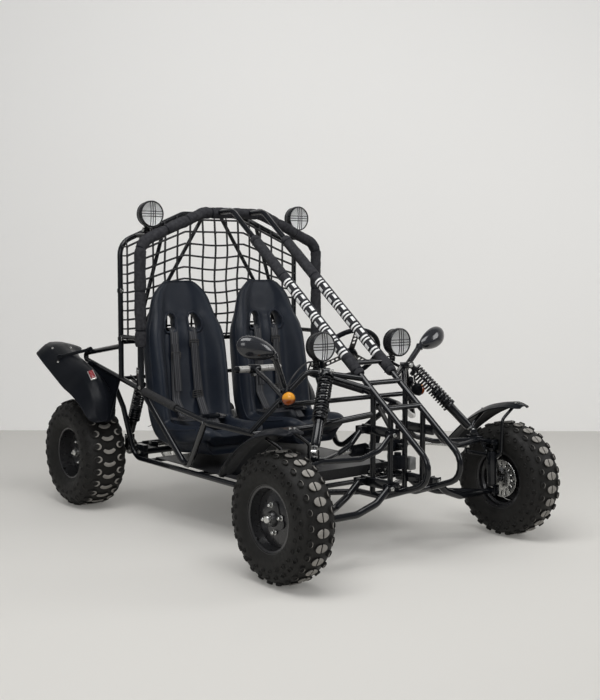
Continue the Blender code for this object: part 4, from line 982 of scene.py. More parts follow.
# %% Coil shocks
def coil_shock(name, top, foot, swing, share, turns):
    line = (foot - top).normalized()
    end = (foot - top).length * share
    out = line.orthogonal().normalized()
    side = line.cross(out)
    route, per_turn = [], 16
    for step in range(turns * per_turn + 1):
        angle = FULL_TURN * step / per_turn
        along = 0.036 + (end - 0.044) * step / (turns * per_turn)
        route.append(top + line * along + (out * math.cos(angle) + side * math.sin(angle)) * 0.0285)
    spring = tubes(0.0045, route, bend=0.0001, sides=1)
    cap = spun([(0.024, 0), (0.024, 0.024), (0.027, 0.033), (0.033, 0.033), (0.0345, 0.03), (0.0345, 0)],
        top, line, 28, closed=False)
    collar = spun([(end - 0.008, 0.0238), (end - 0.008, 0.0316), (end - 0.006, 0.033), (end - 0.001, 0.033),
        (end, 0.0316), (end, 0.0238)], top, line, 28)
    neck = rod(top + line * 0.008, top + line * 0.03, 0.0125)
    eye = rod(top - swing * 0.013, top + swing * 0.013, 0.0145)
    shaft = rod(top + line * 0.02, top + line * end * 0.78, 0.0065)
    label = name.replace("_spring_", "_coil_")
    body = label
    fit(join(f"{label}_spring", [spring, cap, collar, neck, eye, shaft]), frame_paint, body, name)
    bolts = [bolt(top + swing * 0.0205, swing, 0.017), bolt(top - swing * 0.0205, -swing, 0.017)]
    fit(join(f"{label}_bolts", bolts), zinc, "chassis")
    body_top = top + line * end * 0.62
    tube_end = foot - line * 0.026
    length = (tube_end - body_top).length
    damper = spun([(0, 0.009), (0, 0.02), (0.002, 0.0206), (length - 0.012, 0.0206),
        (length - 0.004, 0.018), (length, 0.01), (length - 0.02, 0.0085)], body_top, line, 28)
    threads = []
    for index in range(5):
        place = top + line * (end + 0.004 + 0.005 * index)
        threads.append(spun([(0, 0.02), (0.001, 0.0216), (0.0025, 0.0216), (0.0035, 0.02)], place, line,
            24))
    low_eye = rod(foot - swing * 0.0115, foot + swing * 0.0115, 0.013)
    low_neck = rod(foot - line * 0.034, foot, 0.0095)
    damper_node = name.replace("_spring_", "_damper_")
    label = name.replace("_spring_", "_strut_")
    fit(join(f"{label}_tube", [damper, low_neck, *threads]), frame_paint, label, damper_node)
    nut = rod(foot - line * 0.03, foot - line * 0.021, 0.015, 6)
    fit(join(f"{label}_foot", [low_eye, nut]), zinc, label)


for name, s in SIDES:
    shock_top = at(s * SHOCK_TOP[0], *SHOCK_TOP[1:])
    shock_foot = at(s * SHOCK_FOOT[0], *SHOCK_FOOT[1:])
    coil_shock(f"front_spring_{name}", shock_top, shock_foot, swing_axis(s), 0.62, 15)
    shock_top = at(s * REAR_SHOCK_TOP[0], *REAR_SHOCK_TOP[1:])
    shock_foot = at(s * REAR_SHOCK_FOOT[0], *REAR_SHOCK_FOOT[1:])
    coil_shock(f"rear_spring_{name}", shock_top, shock_foot, Vector((1, 0, 0)), 0.66, 12)
print("coil shocks ready")


# %% [markdown]
# ## Bucket seats
# Each seat is a moulded shell under foam and vinyl, with high side bolsters, a rounded head and two
# slots for the shoulder belts. It starts as a flat grid that is extruded once for its thickness.
# Its points are then moved to a smooth loft through the CAD's rings, so the padding, the ridge
# between the slots and the sewn lines are all heights on one surface. Two holes cut the slots.

# %% The seat's surface
SEAT_RINGS = ((0.9, 0.44, 0.15, 0.012, 0.07), (0.945, 0.462, 0.185, 0.03, 0.11),
    (1.11, 0.43, 0.215, 0.055, 0.09), (1.255, 0.425, 0.225, 0.075, 0.085), (1.33, 0.52, 0.23, 0.095, 0.075),
    (1.365, 0.72, 0.232, 0.1, 0.06), (1.385, 0.9, 0.228, 0.075, 0.055), (1.398, 1.01, 0.19, 0.04, 0.05),
    (1.41, 1.11, 0.155, 0.018, 0.048), (1.422, 1.18, 0.085, 0.006, 0.036))
BOLSTER = ((0.0,), (0.0,), (0.0,), (0.01,), (0.05,), (0.17,), (0.46,), (0.82,), (0.98,), (0.86,), (0.42,))


def on_curve(rows, place):
    """A row of numbers on a smooth curve through the rows, at a place counted in rows."""
    first = min(int(place), len(rows) - 2)
    share = place - first
    near = [rows[min(max(first + step, 0), len(rows) - 1)] for step in (-1, 0, 1, 2)]
    return [0.5 * (2 * b + (c - a) * share + (2 * a - 5 * b + 4 * c - d) * share ** 2
        + (3 * b - a - 3 * c + d) * share ** 3) for a, b, c, d in zip(*near)]


def on_steps(steps, value):
    """A height between the given steps, with soft corners."""
    for (low, start), (high, end) in zip(steps, steps[1:]):
        if value <= high:
            share = (value - low) / (high - low)
            return start + (end - start) * share * share * (3 - 2 * share)
    return steps[-1][1]


def seat_frame(place):
    """Middle of the seat, its half width, edge and thickness, and the way it faces."""
    y, z, half, edge, thick = on_curve(SEAT_RINGS, place)
    before, after = on_curve(SEAT_RINGS, max(place - 0.2, 0)), on_curve(SEAT_RINGS, min(place + 0.2, 9))
    along = Vector((0, after[0] - before[0], after[1] - before[1])).normalized()
    return at(0, y, z), half, edge, thick, Vector((1, 0, 0)).cross(along)


def seat_point(share, place, front=True):
    """A point of the seat's surface, by its share of the half width and its place along the rings."""
    middle, half, edge, thick, face = seat_frame(place)
    wide = abs(share)
    if not front:
        depth = on_steps(((0, 1.0), (0.55, 1.0), (0.98, 0.35), (1.0, 0.3)), wide)
        return middle + Vector((share * half * 0.985, 0, 0)) - face * depth * thick
    lift = on_curve(BOLSTER, wide * 10)[0] * edge
    lift += 0.009 * max(0, 1 - (wide / 0.48) ** 2) * on_steps(((0, 0), (1, 1), (6, 1), (6.6, 0), (9, 0)),
        place)
    lift -= 0.0035 * math.exp(-((wide - 0.5) / 0.035) ** 2) * on_steps(((0, 0), (1, 1), (6.0, 1), (6.6, 0),
        (9, 0)), place)
    ridge = on_steps(((0, 0), (5.5, 0), (5.9, 1), (6.8, 1), (7.15, 0), (9, 0)), place)
    lift += 0.01 * ridge * on_steps(((0, 1), (0.1, 0.9), (0.17, 0), (1.1, 0)), wide)
    lift += 0.006 * ridge * on_steps(((0, 0), (0.46, 0), (0.6, 1), (0.75, 0), (1.1, 0)), wide)
    return middle + Vector((share * half, 0, 0)) + face * lift


# %% Belt slots
SLOT_MIDDLE = Vector((0.073, 0.966))
SLOT_CORNERS = ((0.042, 0.93), (0.068, 0.921), (0.098, 0.925), (0.109, 0.942), (0.104, 0.972), (0.091, 1.0),
    (0.072, 1.013), (0.051, 1.008), (0.04, 0.986))


def slot_outline(s, grow=0.0):
    """A belt slot as places across and up round its rim: rounded on top, its outer side slanted."""
    made = []
    for x, z in SLOT_CORNERS:
        corner = Vector((x, z)) + (Vector((x, z)) - SLOT_MIDDLE).normalized() * grow
        made.append(Vector((s * corner.x, corner.y)))
    return made


def slot_reach(s, way):
    """Distance from the middle of a slot to its rim in a direction."""
    middle = Vector((s * SLOT_MIDDLE.x, SLOT_MIDDLE.y))
    rim = slot_outline(s)
    for start, end in zip(rim, rim[1:] + rim[:1]):
        edge, gap = end - start, start - middle
        turn = way.x * edge.y - way.y * edge.x
        if abs(turn) > 1e-9:
            reach = (gap.x * edge.y - gap.y * edge.x) / turn
            share = (gap.x * way.y - gap.y * way.x) / turn
            if reach > 0 and 0 <= share <= 1:
                return reach
    return 0.03


def place_at_height(z):
    """The place along the rings where the backrest has a height."""
    low, high = 4.2, 9.0
    for _ in range(24):
        middle = (low + high) / 2
        if seat_frame(middle)[0].z < z:
            low = middle
        else:
            high = middle
    return low


def flat_place(vertex):
    """A grid point as places across and up the seat."""
    middle, half, _, _, _ = seat_frame((vertex.co.y + 0.5) * 9)
    return Vector((vertex.co.x * 2 * half, middle.z))


# %% One seat
def open_slots(piece):
    """Deletes the grid's faces in the slots, and moves the holes' edge points to the slots' rims."""
    bpy.ops.object.mode_set(mode="EDIT")
    bpy.ops.mesh.select_mode(type="FACE")
    bpy.ops.mesh.select_all(action="DESELECT")
    shape = bmesh.from_edit_mesh(piece.data)
    rims = {}
    for face in shape.faces:
        if face.calc_center_median().y < 0:
            continue
        places = [flat_place(vertex) for vertex in face.verts]
        middle = sum(places, Vector((0, 0))) / len(places)
        s = 1 if middle.x > 0 else -1
        gap = middle - Vector((s * SLOT_MIDDLE.x, SLOT_MIDDLE.y))
        if gap.length < slot_reach(s, gap.normalized()):
            face.select = True
            for vertex in face.verts:
                rims[vertex] = s
    for vertex, s in rims.items():
        if not all(face.select for face in vertex.link_faces):
            middle = Vector((s * SLOT_MIDDLE.x, SLOT_MIDDLE.y))
            way = (flat_place(vertex) - middle).normalized()
            target = middle + way * slot_reach(s, way)
            place = place_at_height(target.y)
            vertex.co.x = target.x / seat_frame(place)[1] / 2
            vertex.co.y = place / 9 - 0.5
    bmesh.update_edit_mesh(piece.data)
    bpy.ops.mesh.delete(type="FACE")
    bpy.ops.mesh.select_mode(type="VERT")
    bpy.ops.object.mode_set(mode="OBJECT")


def seat():
    bpy.ops.mesh.primitive_grid_add(x_subdivisions=36, y_subdivisions=76, size=1)
    piece = bpy.context.object
    open_slots(piece)
    extrude_all((0, 0, 1))
    bpy.ops.object.mode_set(mode="OBJECT")
    for vertex in piece.data.vertices:
        share, place, layer = vertex.co.x * 2, (vertex.co.y + 0.5) * 9, vertex.co.z > 0.5
        vertex.co = seat_point(share, place, layer)
    bpy.ops.object.mode_set(mode="EDIT")
    close_mesh()
    rounder = piece.modifiers.new("rounder", "SUBSURF")
    rounder.levels = rounder.render_levels = 1
    return smooth(settle(piece), 70)


def front_height(x, z):
    """The point of the backrest's front face at a distance from its middle and a height."""
    place = place_at_height(z)
    return seat_point(x / seat_frame(place)[1], place)


def closed_route(points):
    return [*points, points[0], points[1]]


def seat_trim():
    """Piping round the seat's edge and the soft rims of its slots."""
    outline = [seat_point(-0.965, 1.2 + 0.3 * step) for step in range(26)]
    outline += [seat_point(share, 8.93) for share in (-0.7, -0.35, 0, 0.35, 0.7)]
    outline += [seat_point(0.965, 1.2 + 0.3 * step) for step in range(25, -1, -1)]
    made = [tubes(0.0042, outline, bend=0.03, sides=2)]
    for s in (1, -1):
        rim = [front_height(corner.x, corner.y) for corner in slot_outline(s, 0.006)]
        made.append(tubes(0.007, closed_route(rim), bend=0.012, sides=2))
    return made


template = join("seat", [seat(), *seat_trim()])
for name, s in SIDES:
    made = copy_of(template, Matrix.Translation((s * SEAT_HALF_GAP, 0, 0)))
    made.name = f"padded_seat_{name}"
    fit(made, vinyl, "chassis", f"seat_{name}")
print("seat faces", len(template.data.polygons))
bpy.data.objects.remove(template)

# %% [markdown]
# ## Harness belts
# Two shoulder belts come through the slots and run down the backrest to a buckle in the lap, where
# two lap belts meet them. Webbing is flat and woven, so each belt is a narrow grid laid along its
# route. Its own UV map runs across it, which lets three pale lengthwise lines follow every turn.

# %% Woven finish and a strap tool
belt_cloth = finish("belt_cloth", "net_cord", (0.03, 0.03, 0.033), 0.55)
belt_map = add_node(belt_cloth, "ShaderNodeUVMap")
belt_map.uv_map = "UVMap"
belt_split = add_node(belt_cloth, "ShaderNodeSeparateXYZ")
wire(belt_cloth, belt_map.outputs["UV"], belt_split.inputs["Vector"])
lines = ramp(belt_cloth, belt_split.outputs["X"], (0.0, (0.014, 0.015, 0.018)), (0.2, (0.016, 0.017, 0.02)),
    (0.24, (0.13, 0.13, 0.14)), (0.28, (0.016, 0.017, 0.02)), (0.47, (0.016, 0.017, 0.02)),
    (0.5, (0.1, 0.1, 0.11)), (0.53, (0.016, 0.017, 0.02)), (0.72, (0.016, 0.017, 0.02)),
    (0.76, (0.13, 0.13, 0.14)), (0.8, (0.016, 0.017, 0.02)))
set_input(belt_cloth, "Base Color", lines)
belt_weave = add_node(belt_cloth, "ShaderNodeTexWave", Scale=1.0)
belt_weave.bands_direction = "Y"
belt_steps = add_node(belt_cloth, "ShaderNodeMapping", Scale=(1, 45, 1))
wire(belt_cloth, belt_map.outputs["UV"], belt_steps.inputs["Vector"])
wire(belt_cloth, belt_steps.outputs["Vector"], belt_weave.inputs["Vector"])
bumps(belt_cloth, (belt_weave.outputs["Fac"], 0.0004))


def along_route(points, share):
    """The place and direction at a share of a route's length."""
    lengths = [(b - a).length for a, b in zip(points, points[1:])]
    left = share * sum(lengths)
    for (a, b), length in zip(zip(points, points[1:]), lengths):
        if left <= length or b is points[-1]:
            return a.lerp(b, min(left / length, 1)), (b - a).normalized()
        left -= length


def strap(route, width, faces, thick=0.0022, rows=60):
    """A flat strap along a route. Faces gives the way it looks at its start and its end."""
    points = rounded([Vector(point) for point in route], 0.03)
    bpy.ops.mesh.primitive_grid_add(x_subdivisions=4, y_subdivisions=rows, size=1, calc_uvs=True)
    piece = bpy.context.object
    for vertex in piece.data.vertices:
        share = vertex.co.y + 0.5
        place, along = along_route(points, share)
        ahead = along_route(points, min(share + 0.012, 1))[1]
        behind = along_route(points, max(share - 0.012, 0))[1]
        along = (along + ahead + behind).normalized()
        face = Vector(faces[0]).lerp(Vector(faces[1]), share)
        across_way = along.cross(face).normalized()
        vertex.co = place + across_way * vertex.co.x * width
    thicken(piece, thick)
    return smooth(settle(piece), 40)


def adjuster(place, along, face, width):
    """A wire slide that the belt is looped through: a flat ring and two bars across it."""
    along, face = along.normalized(), face.normalized()
    side = along.cross(face).normalized()
    long, wide = 0.017, width / 2 + 0.004
    corners = [place + along * a * long + side * b * wide for a, b in ((-1, -1), (1, -1), (1, 1), (-1, 1))]
    made = [tubes(0.0024, closed_route(corners), bend=0.005, sides=2)]
    for shift in (-0.005, 0.006):
        made.append(rod(place + along * shift - side * wide, place + along * shift + side * wide, 0.0022,
            10))
    return made


# %% Belts of both seats
def belts(name, s):
    centre = s * SEAT_HALF_GAP
    front, up, shift = Vector((0, -1, 0)), Vector((0, 0, 1)), Vector((centre, 0, 0))
    ribbons, metal, pads = [], [], []
    lap = at(centre + 0.01, 1.135, 0.497)
    for way in (1, -1):
        x = way * 0.056
        down = [at(centre + x, 1.47, 0.76), at(centre + x, 1.462, 0.9), at(centre + x, 1.425, 0.942)]
        down.append(front_height(x, 0.935) + shift + Vector((0, -0.006, 0.004)))
        for step, z in enumerate((0.89, 0.82, 0.74, 0.66, 0.58)):
            down.append(front_height(x + way * 0.004 * step, z) + shift + Vector((0, -0.007, 0)))
        down.append(at(centre + way * 0.066, 1.27, 0.495))
        down.append(lap + Vector((way * 0.032, 0.022, 0.01)))
        ribbons.append(strap(down, 0.046, (front, (0, -0.35, 0.9)), rows=90))
        for z in ((0.86, 0.6) if way > 0 else (0.8,)):
            place = front_height(x, z) + shift + Vector((0, -0.011, 0))
            metal += adjuster(place, up, front, 0.046)
        second = [front_height(x, z) + shift + Vector((0, -0.0125, 0)) for z in (0.86, 0.78, 0.7, 0.62)]
        ribbons.append(strap(second, 0.04, (front, front), rows=24))
        hip = [at(centre + way * 0.222, 1.345, 0.455), at(centre + way * 0.175, 1.285, 0.5),
            at(centre + way * 0.1, 1.19, 0.492), lap + Vector((way * 0.03, 0, 0.006))]
        ribbons.append(strap(hip, 0.046, ((way * -0.3, -0.4, 0.85), (0, -0.3, 0.95)), rows=40))
        metal += adjuster(at(centre + way * 0.118, 1.21, 0.5), Vector((way, 0.9, 0.05)),
            Vector((0, -0.3, 1)), 0.046)
    crotch = [at(centre, 0.985, 0.484), at(centre, 1.06, 0.47), lap + Vector((0, -0.026, 0.004))]
    ribbons.append(strap(crotch, 0.04, ((0, 0, 1), (0, 0, 1)), rows=24))
    fit(join(f"harness_belts_{name}", ribbons), belt_cloth, "chassis")
    fit(join(f"belt_adjusters_{name}", metal), dark_metal, "chassis")
    case = slab(lap + Vector((0, 0, 0.014)), (0.066, 0.074, 0.02), tilt(-6), 0.006)
    button = slab(lap + Vector((0, -0.018, 0.0255)), (0.034, 0.016, 0.005), None, 0.002)
    tongues = [slab(lap + Vector((way * 0.034, 0.018, 0.012)), (0.024, 0.032, 0.004), None,
        0.001) for way in (1, -1)]
    pads += [case, button, *tongues]
    fit(join(f"belt_buckle_{name}", pads), moulded, "chassis")


both_sides(belts)
print("belts ready")

# %% [markdown]
# ## Foam on the cage
# Split foam tube is tied round the main hoop and the two pillars. On the real buggy it is lumpy,
# nipped in at each tie and open along a seam. A tube with many short steps gives room for that: its
# radius drops at the ties, and noise moves each point a little.

# %% Foam sleeves
from mathutils import noise as lumps
from mathutils.kdtree import KDTree


def fine_route(points, bend, step):
    """A bent route cut into short steps."""
    made = []
    corners = rounded([Vector(point) for point in points], bend, 8)
    for a, b in zip(corners, corners[1:]):
        count = max(1, round((b - a).length / step))
        made += [a.lerp(b, index / count) for index in range(count)]
    return [*made, corners[-1]]


def foam_sleeve(name, points, radius, ties, bend, uneven, nodes):
    """Foam round a tube, nipped in at ties, which are shares of its length."""
    route = fine_route(points, bend, 0.008)
    bpy.ops.curve.primitive_nurbs_path_add()
    piece = bpy.context.object
    curve = piece.data
    curve.splines.clear()
    curve.bevel_depth = radius
    curve.bevel_resolution = 7
    curve.use_fill_caps = True
    spline = curve.splines.new("POLY")
    spline.points.add(len(route) - 1)
    for index, (target, point) in enumerate(zip(spline.points, route)):
        share = index / (len(route) - 1)
        nip = sum(math.exp(-((share - tie) / 0.0035) ** 2) for tie in ties)
        end = min(index, len(route) - 1 - index)
        target.co = (*point, 1)
        target.radius = 1 - 0.13 * min(nip, 1) - (0.18 if end == 0 else 0.05 if end == 1 else 0)
    bpy.ops.object.convert(target="MESH")
    piece = bpy.context.object
    tree = KDTree(len(route))
    for index, point in enumerate(route):
        tree.insert(point, index)
    tree.balance()
    for vertex in piece.data.vertices:
        centre = tree.find(vertex.co)[0]
        out = (vertex.co - centre).normalized()
        coarse, fine = lumps.noise(vertex.co * 15), lumps.noise(vertex.co * 55)
        vertex.co += out * (coarse * uneven + fine * uneven * 0.45)
    piece.name = name
    smooth(piece, 60)
    fit(piece, foam, "chassis", *nodes)
    bands = []
    for tie in ties:
        index = round(tie * (len(route) - 1))
        ahead = (route[min(index + 1, len(route) - 1)] - route[max(index - 1, 0)]).normalized()
        centre, reach = route[index], radius * 0.885
        bands.append(spun([(-0.0026, reach), (-0.0026, reach + 0.0016), (0.0026, reach + 0.0016),
            (0.0026, reach)], centre, ahead, 28))
        side = ahead.orthogonal().normalized()
        bands.append(slab(centre + side * (reach + 0.002), (0.006, 0.006, 0.005), None, 0.0008))
    fit(join(f"{name}_ties", bands), moulded, "chassis")


HOOP_TIES = (0.035, 0.12, 0.215, 0.3, 0.36, 0.44, 0.5, 0.565, 0.64, 0.7, 0.785, 0.88, 0.965)
foam_sleeve("hoop_foam", hoop_route(MAIN_HOOP_Y, 0.86), 0.0285, HOOP_TIES, 0.09, 0.0036, ["hoop_pad"])
for name, s in SIDES:
    pillar_line = [at(s * PILLAR_HALF, y, pillar_z(y)) for y in (0.985, 0.185)]
    foam_sleeve(f"pillar_foam_{name}", pillar_line, 0.0262, (0.03, 0.3, 0.86, 0.975), 0.01, 0.0012,
        [f"pillar_pad_{name}"])
print("foam ready")

# %% [markdown]
# ## Pale bars on the pillar foam
# The pillar foam carries a pale printed band. Here it is a row of plain bars: each is a patch of a
# tube, cut from a cylinder, and lies just proud of the foam.

# %% Printed bars
bar_print = finish("bar_print", "foam_grey", (0.8, 0.8, 0.79), 0.6)
blotchy(bar_print, "Base Color", 85, 5, (0.3, (0.42, 0.42, 0.42)), (0.44, (0.78, 0.78, 0.77)),
    (0.8, (0.86, 0.86, 0.85)))
bumps(bar_print, (noise(bar_print, 900, 2), 0.0002))


def printed_bar(start, end, low, high):
    """A patch of tube from start to end along z, between two angles."""
    bpy.ops.mesh.primitive_grid_add(x_subdivisions=12, y_subdivisions=6, size=1)
    piece = bpy.context.object
    for vertex in piece.data.vertices:
        turn = math.radians(low + (high - low) * (vertex.co.x + 0.5))
        along = start + (end - start) * (vertex.co.y + 0.5)
        vertex.co = Vector((0.0272 * math.cos(turn), 0.0272 * math.sin(turn), along))
    return piece


BARS = ((0.0, 0.01, -52, 52), (0.02, 0.028, -52, 52), (0.04, 0.07, -52, -22), (0.04, 0.07, 20, 52),
    (0.084, 0.094, -52, 52), (0.104, 0.112, -52, 52), (0.124, 0.154, 16, 52), (0.124, 0.154, -52, -24),
    (0.168, 0.178, -52, 52), (0.188, 0.196, -52, 52), (0.208, 0.238, -52, -20), (0.208, 0.238, 22, 52),
    (0.252, 0.262, -52, 52), (0.272, 0.28, -52, 52), (0.292, 0.322, -52, -22), (0.292, 0.322, 18, 52),
    (0.336, 0.346, -52, 52), (0.356, 0.364, -52, 52), (0.376, 0.406, -52, -22), (0.376, 0.406, 20, 52),
    (0.42, 0.43, -52, 52), (0.44, 0.448, -52, 52), (0.46, 0.49, -52, -24), (0.46, 0.49, 18, 52),
    (0.504, 0.514, -52, 52), (0.524, 0.534, -52, 52))
for name, s in SIDES:
    patches = [printed_bar(*bar) for bar in BARS]
    band = join(f"pillar_bars_{name}", patches)
    top, foot = at(s * PILLAR_HALF, 0.706, pillar_z(0.706)), at(s * PILLAR_HALF, 0.2, pillar_z(0.2))
    down = (foot - top).normalized()
    face = Vector((-0.72, -0.69, 0.0))
    face = (face - down * face.dot(down)).normalized()
    turn = Matrix((face, down.cross(face), down)).transposed().to_4x4()
    band.data.transform(Matrix.Translation(top) @ turn)
    thicken(band, 0.0008)
    fit(smooth(settle(band), 40), bar_print, "chassis")
print("bars ready")

# %% [markdown]
# ## Cargo net
# The net is thin black cord in square meshes, tied to the rear hoop and pulled a little out of
# shape. Each cord is a tube along a wavy route, with a small knot where two cords cross. All its
# cords are tied at both ends.

# %% Net
def hoop_height(x):
    """Height of the rear hoop's line at a distance from its middle."""
    share = max(0, (abs(x) - TOP_HALF) / (HOOP_HALF - TOP_HALF))
    return TOP_Z + (SHOULDER_Z - TOP_Z) * share


def net_place(across_share, up_share):
    """A point of the net: across from -1 to 1 and up from 0 to 1, with its sag."""
    x = 0.526 * across_share
    top, low = hoop_height(x) - 0.03, 0.893
    z = low + (top - low) * up_share
    slack = math.sin(math.pi * up_share) * (1 - across_share ** 2)
    x += 0.008 * slack * math.sin(9 * up_share + 2 * across_share)
    z -= slack * (0.012 + 0.01 * math.sin(7 * across_share + 1.5))
    return at(x, REAR_HOOP_Y - 0.026 - 0.01 * slack * math.cos(5 * across_share), z)


def cargo_net():
    columns, rows, fine = 14, 10, 40
    cords, knots = [], []
    for column in range(columns + 1):
        share = -1 + 2 * column / columns
        cords.append([net_place(share, step / fine) for step in range(fine + 1)])
    for row in range(rows + 1):
        cords.append([net_place(-1 + 2 * step / fine, row / rows) for step in range(fine + 1)])
    bpy.ops.mesh.primitive_ico_sphere_add(subdivisions=1, radius=0.0082)
    bead = bpy.context.object
    for column in range(columns + 1):
        for row in range(rows + 1):
            knots.append(copy_of(bead, Matrix.Translation(net_place(-1 + 2 * column / columns,
                row / rows))))
    bpy.data.objects.remove(bead)
    loops = []
    for column in range(columns + 1):
        x = 0.526 * (-1 + 2 * column / columns)
        loops.append([net_place(-1 + 2 * column / columns, 1),
            at(x, REAR_HOOP_Y - 0.015, hoop_height(x) + 0.004)])
        loops.append([net_place(-1 + 2 * column / columns, 0), at(x, REAR_HOOP_Y - 0.01, 0.873)])
    for row in range(rows + 1):
        for s in (1, -1):
            edge = net_place(s, row / rows)
            loops.append([edge, Vector((s * (HOOP_HALF - 0.006), edge.y + 0.012, edge.z))])
    pieces = [tubes(0.0055, *cords, bend=0.0001, sides=1), tubes(0.0042, *loops, bend=0.0001, sides=1),
        *knots]
    fit(join("cargo_net", pieces), cord_black, "chassis", "rear_net")


cargo_net()
print("net ready")

# %% [markdown]
# ## Work lamps
# Each lamp is a deep black bowl with a bright reflector, a clear lens and a grid of wire over it.
# Bowl, reflector and lens are spun profiles, and the guard is thin wire bent to the lens.

# %% Lamp finishes
chrome = finish("chrome", "bright_steel", (0.86, 0.86, 0.86), 0.12, 1.0)
blotchy(chrome, "Roughness", 60, 2, (0.3, 0.08), (0.8, 0.18))
reflector = finish("reflector", "bright_steel", (0.93, 0.93, 0.92), 0.4, 0.1)
facets = add_node(reflector, "ShaderNodeTexVoronoi", Scale=130.0)
wire(reflector, object_place(reflector), facets.inputs["Vector"])
blotchy(reflector, "Roughness", 60, 2, (0.3, 0.32), (0.8, 0.45))
bumps(reflector, (facets.outputs["Distance"], 0.0008))
clear = finish("clear_lens", "lamp_black", (0.96, 0.97, 0.98), 0.05)
set_input(clear, "Transmission Weight", 0.94)
set_input(clear, "IOR", 1.3)
set_input(clear, "Roughness", 0.06)
set_input(clear, "Alpha", 0.22)
bumps(clear, (noise(clear, 160, 1), 0.0006))


def work_lamp(name, foot, body, node):
    centre = foot + Vector((0, -0.02, 0.078))
    shell = [(-0.043, 0.0596), (-0.045, 0.0612), (-0.044, 0.0638), (-0.04, 0.066), (-0.025, 0.066),
        (-0.0215, 0.063), (-0.015, 0.0632), (0.0, 0.06), (0.01, 0.0555), (0.022, 0.044), (0.03, 0.033),
        (0.0345, 0.026), (0.0385, 0.018), (0.039, 0.0)]
    bowl = spun(shell, centre, (0, 1, 0), 56, False)
    ring = spun([(-0.0435, 0.0588), (-0.0448, 0.06), (-0.044, 0.0612), (-0.038, 0.0608), (-0.038, 0.059)],
        centre, (0, 1, 0), 56)
    ribs = [spun([(along, 0.03), (along, edge), (along + 0.0022, edge), (along + 0.0022, 0.03)], centre,
        (0, 1, 0), 40) for along, edge in ((0.006, 0.0605), (0.014, 0.056), (0.022, 0.049))]
    hub = rod(foot - Vector((0.0105, 0, 0)), foot + Vector((0.0105, 0, 0)), 0.008)
    neck = slab_between(foot + Vector((-0.007, -0.007, 0)), foot + Vector((0.007, 0.007, 0.03)), 0.002)
    yoke = slab_between(foot + Vector((-0.013, -0.007, 0.016)), foot + Vector((0.013, 0.007, 0.026)), 0.003)
    wires, reach = [], 0.0605
    for shift in (-0.0125, 0, 0.0125):
        half = math.sqrt(reach ** 2 - shift ** 2)
        for flat in (True, False):
            line = []
            for step in range(13):
                along = half * (step / 6 - 1)
                share = (shift ** 2 + along ** 2) / reach ** 2
                bulge = 0.0455 + 0.006 * (1 - share) + (0.0015 if flat else 0)
                line.append(centre + Vector((along if flat else shift, -bulge, shift if flat else along)))
            wires.append(line)
    guard = tubes(0.0021, *wires, bend=0.0001, sides=1)
    fit(join(f"{name}_housing", [bowl, ring, *ribs, hub, neck, yoke, guard]), lamp_shell, body, node)
    dish = spun([(-0.0385, 0.059), (-0.031, 0.056), (-0.021, 0.044), (-0.014, 0.026), (-0.012, 0.0)],
        centre, (0, 1, 0), 48, False)
    bulb = spun([(-0.021, 0.0), (-0.02, 0.005), (-0.017, 0.007), (-0.013, 0.007), (-0.012, 0.0)], centre,
        (0, 1, 0), 24, False)
    fit(join(f"{name}_reflector", [dish, bulb]), reflector, body)
    lens = spun([(-0.0425, 0.0), (-0.042, 0.03), (-0.0405, 0.046), (-0.0385, 0.059), (-0.0365, 0.059),
        (-0.0385, 0.0455), (-0.04, 0.0295), (-0.0405, 0.0)], centre, (0, 1, 0), 48, False)
    fit(lens, clear, body)
    lens.name = f"{name}_lens"
    bolts = [bolt(foot + Vector((way * 0.0165, 0, 0)), (way, 0, 0), 0.013) for way in (1, -1)]
    fit(join(f"{name}_bolts", bolts), zinc, body)


for name, s in SIDES:
    work_lamp(f"roof_lamp_{name}", at(s * 0.46, 1.4, 1.436), f"lamp_roof_{name}", f"roof_lamp_{name}")
    work_lamp(f"front_lamp_{name}", at(s * 0.228, 0.338, 0.83), f"lamp_front_{name}", f"front_lamp_{name}")
print("lamps ready")

# %% [markdown]
# ## Mirrors
# An egg-shaped shell of glossy plastic on a bent stalk. The shell starts as a sphere that is pressed
# to the egg's outline and cut flat behind, where a pane of glass is let in.

# %% Mirrors
gloss = finish("gloss", "plastic_black", (0.016, 0.017, 0.02), 0.16)
blotchy(gloss, "Base Color", 8, 2, (0.3, (0.013, 0.014, 0.017)), (0.8, (0.021, 0.022, 0.026)))
blotchy(gloss, "Roughness", 30, 3, (0.3, 0.13), (0.8, 0.24))
set_input(gloss, "Coat Weight", 0.3)


def egg(angle, share):
    """A point of the mirror's outline, scaled to a share: out to its side and up, widest far out."""
    return Vector((0.095 * math.cos(angle) * share, 0,
        0.049 * math.sin(angle) * (1 + 0.22 * math.cos(angle)) * share))


def place_shape(piece, matrix):
    """Moves a mesh by a matrix, and turns its faces back if the matrix mirrors it."""
    piece.data.transform(matrix)
    if matrix.determinant() < 0:
        piece.data.flip_normals()


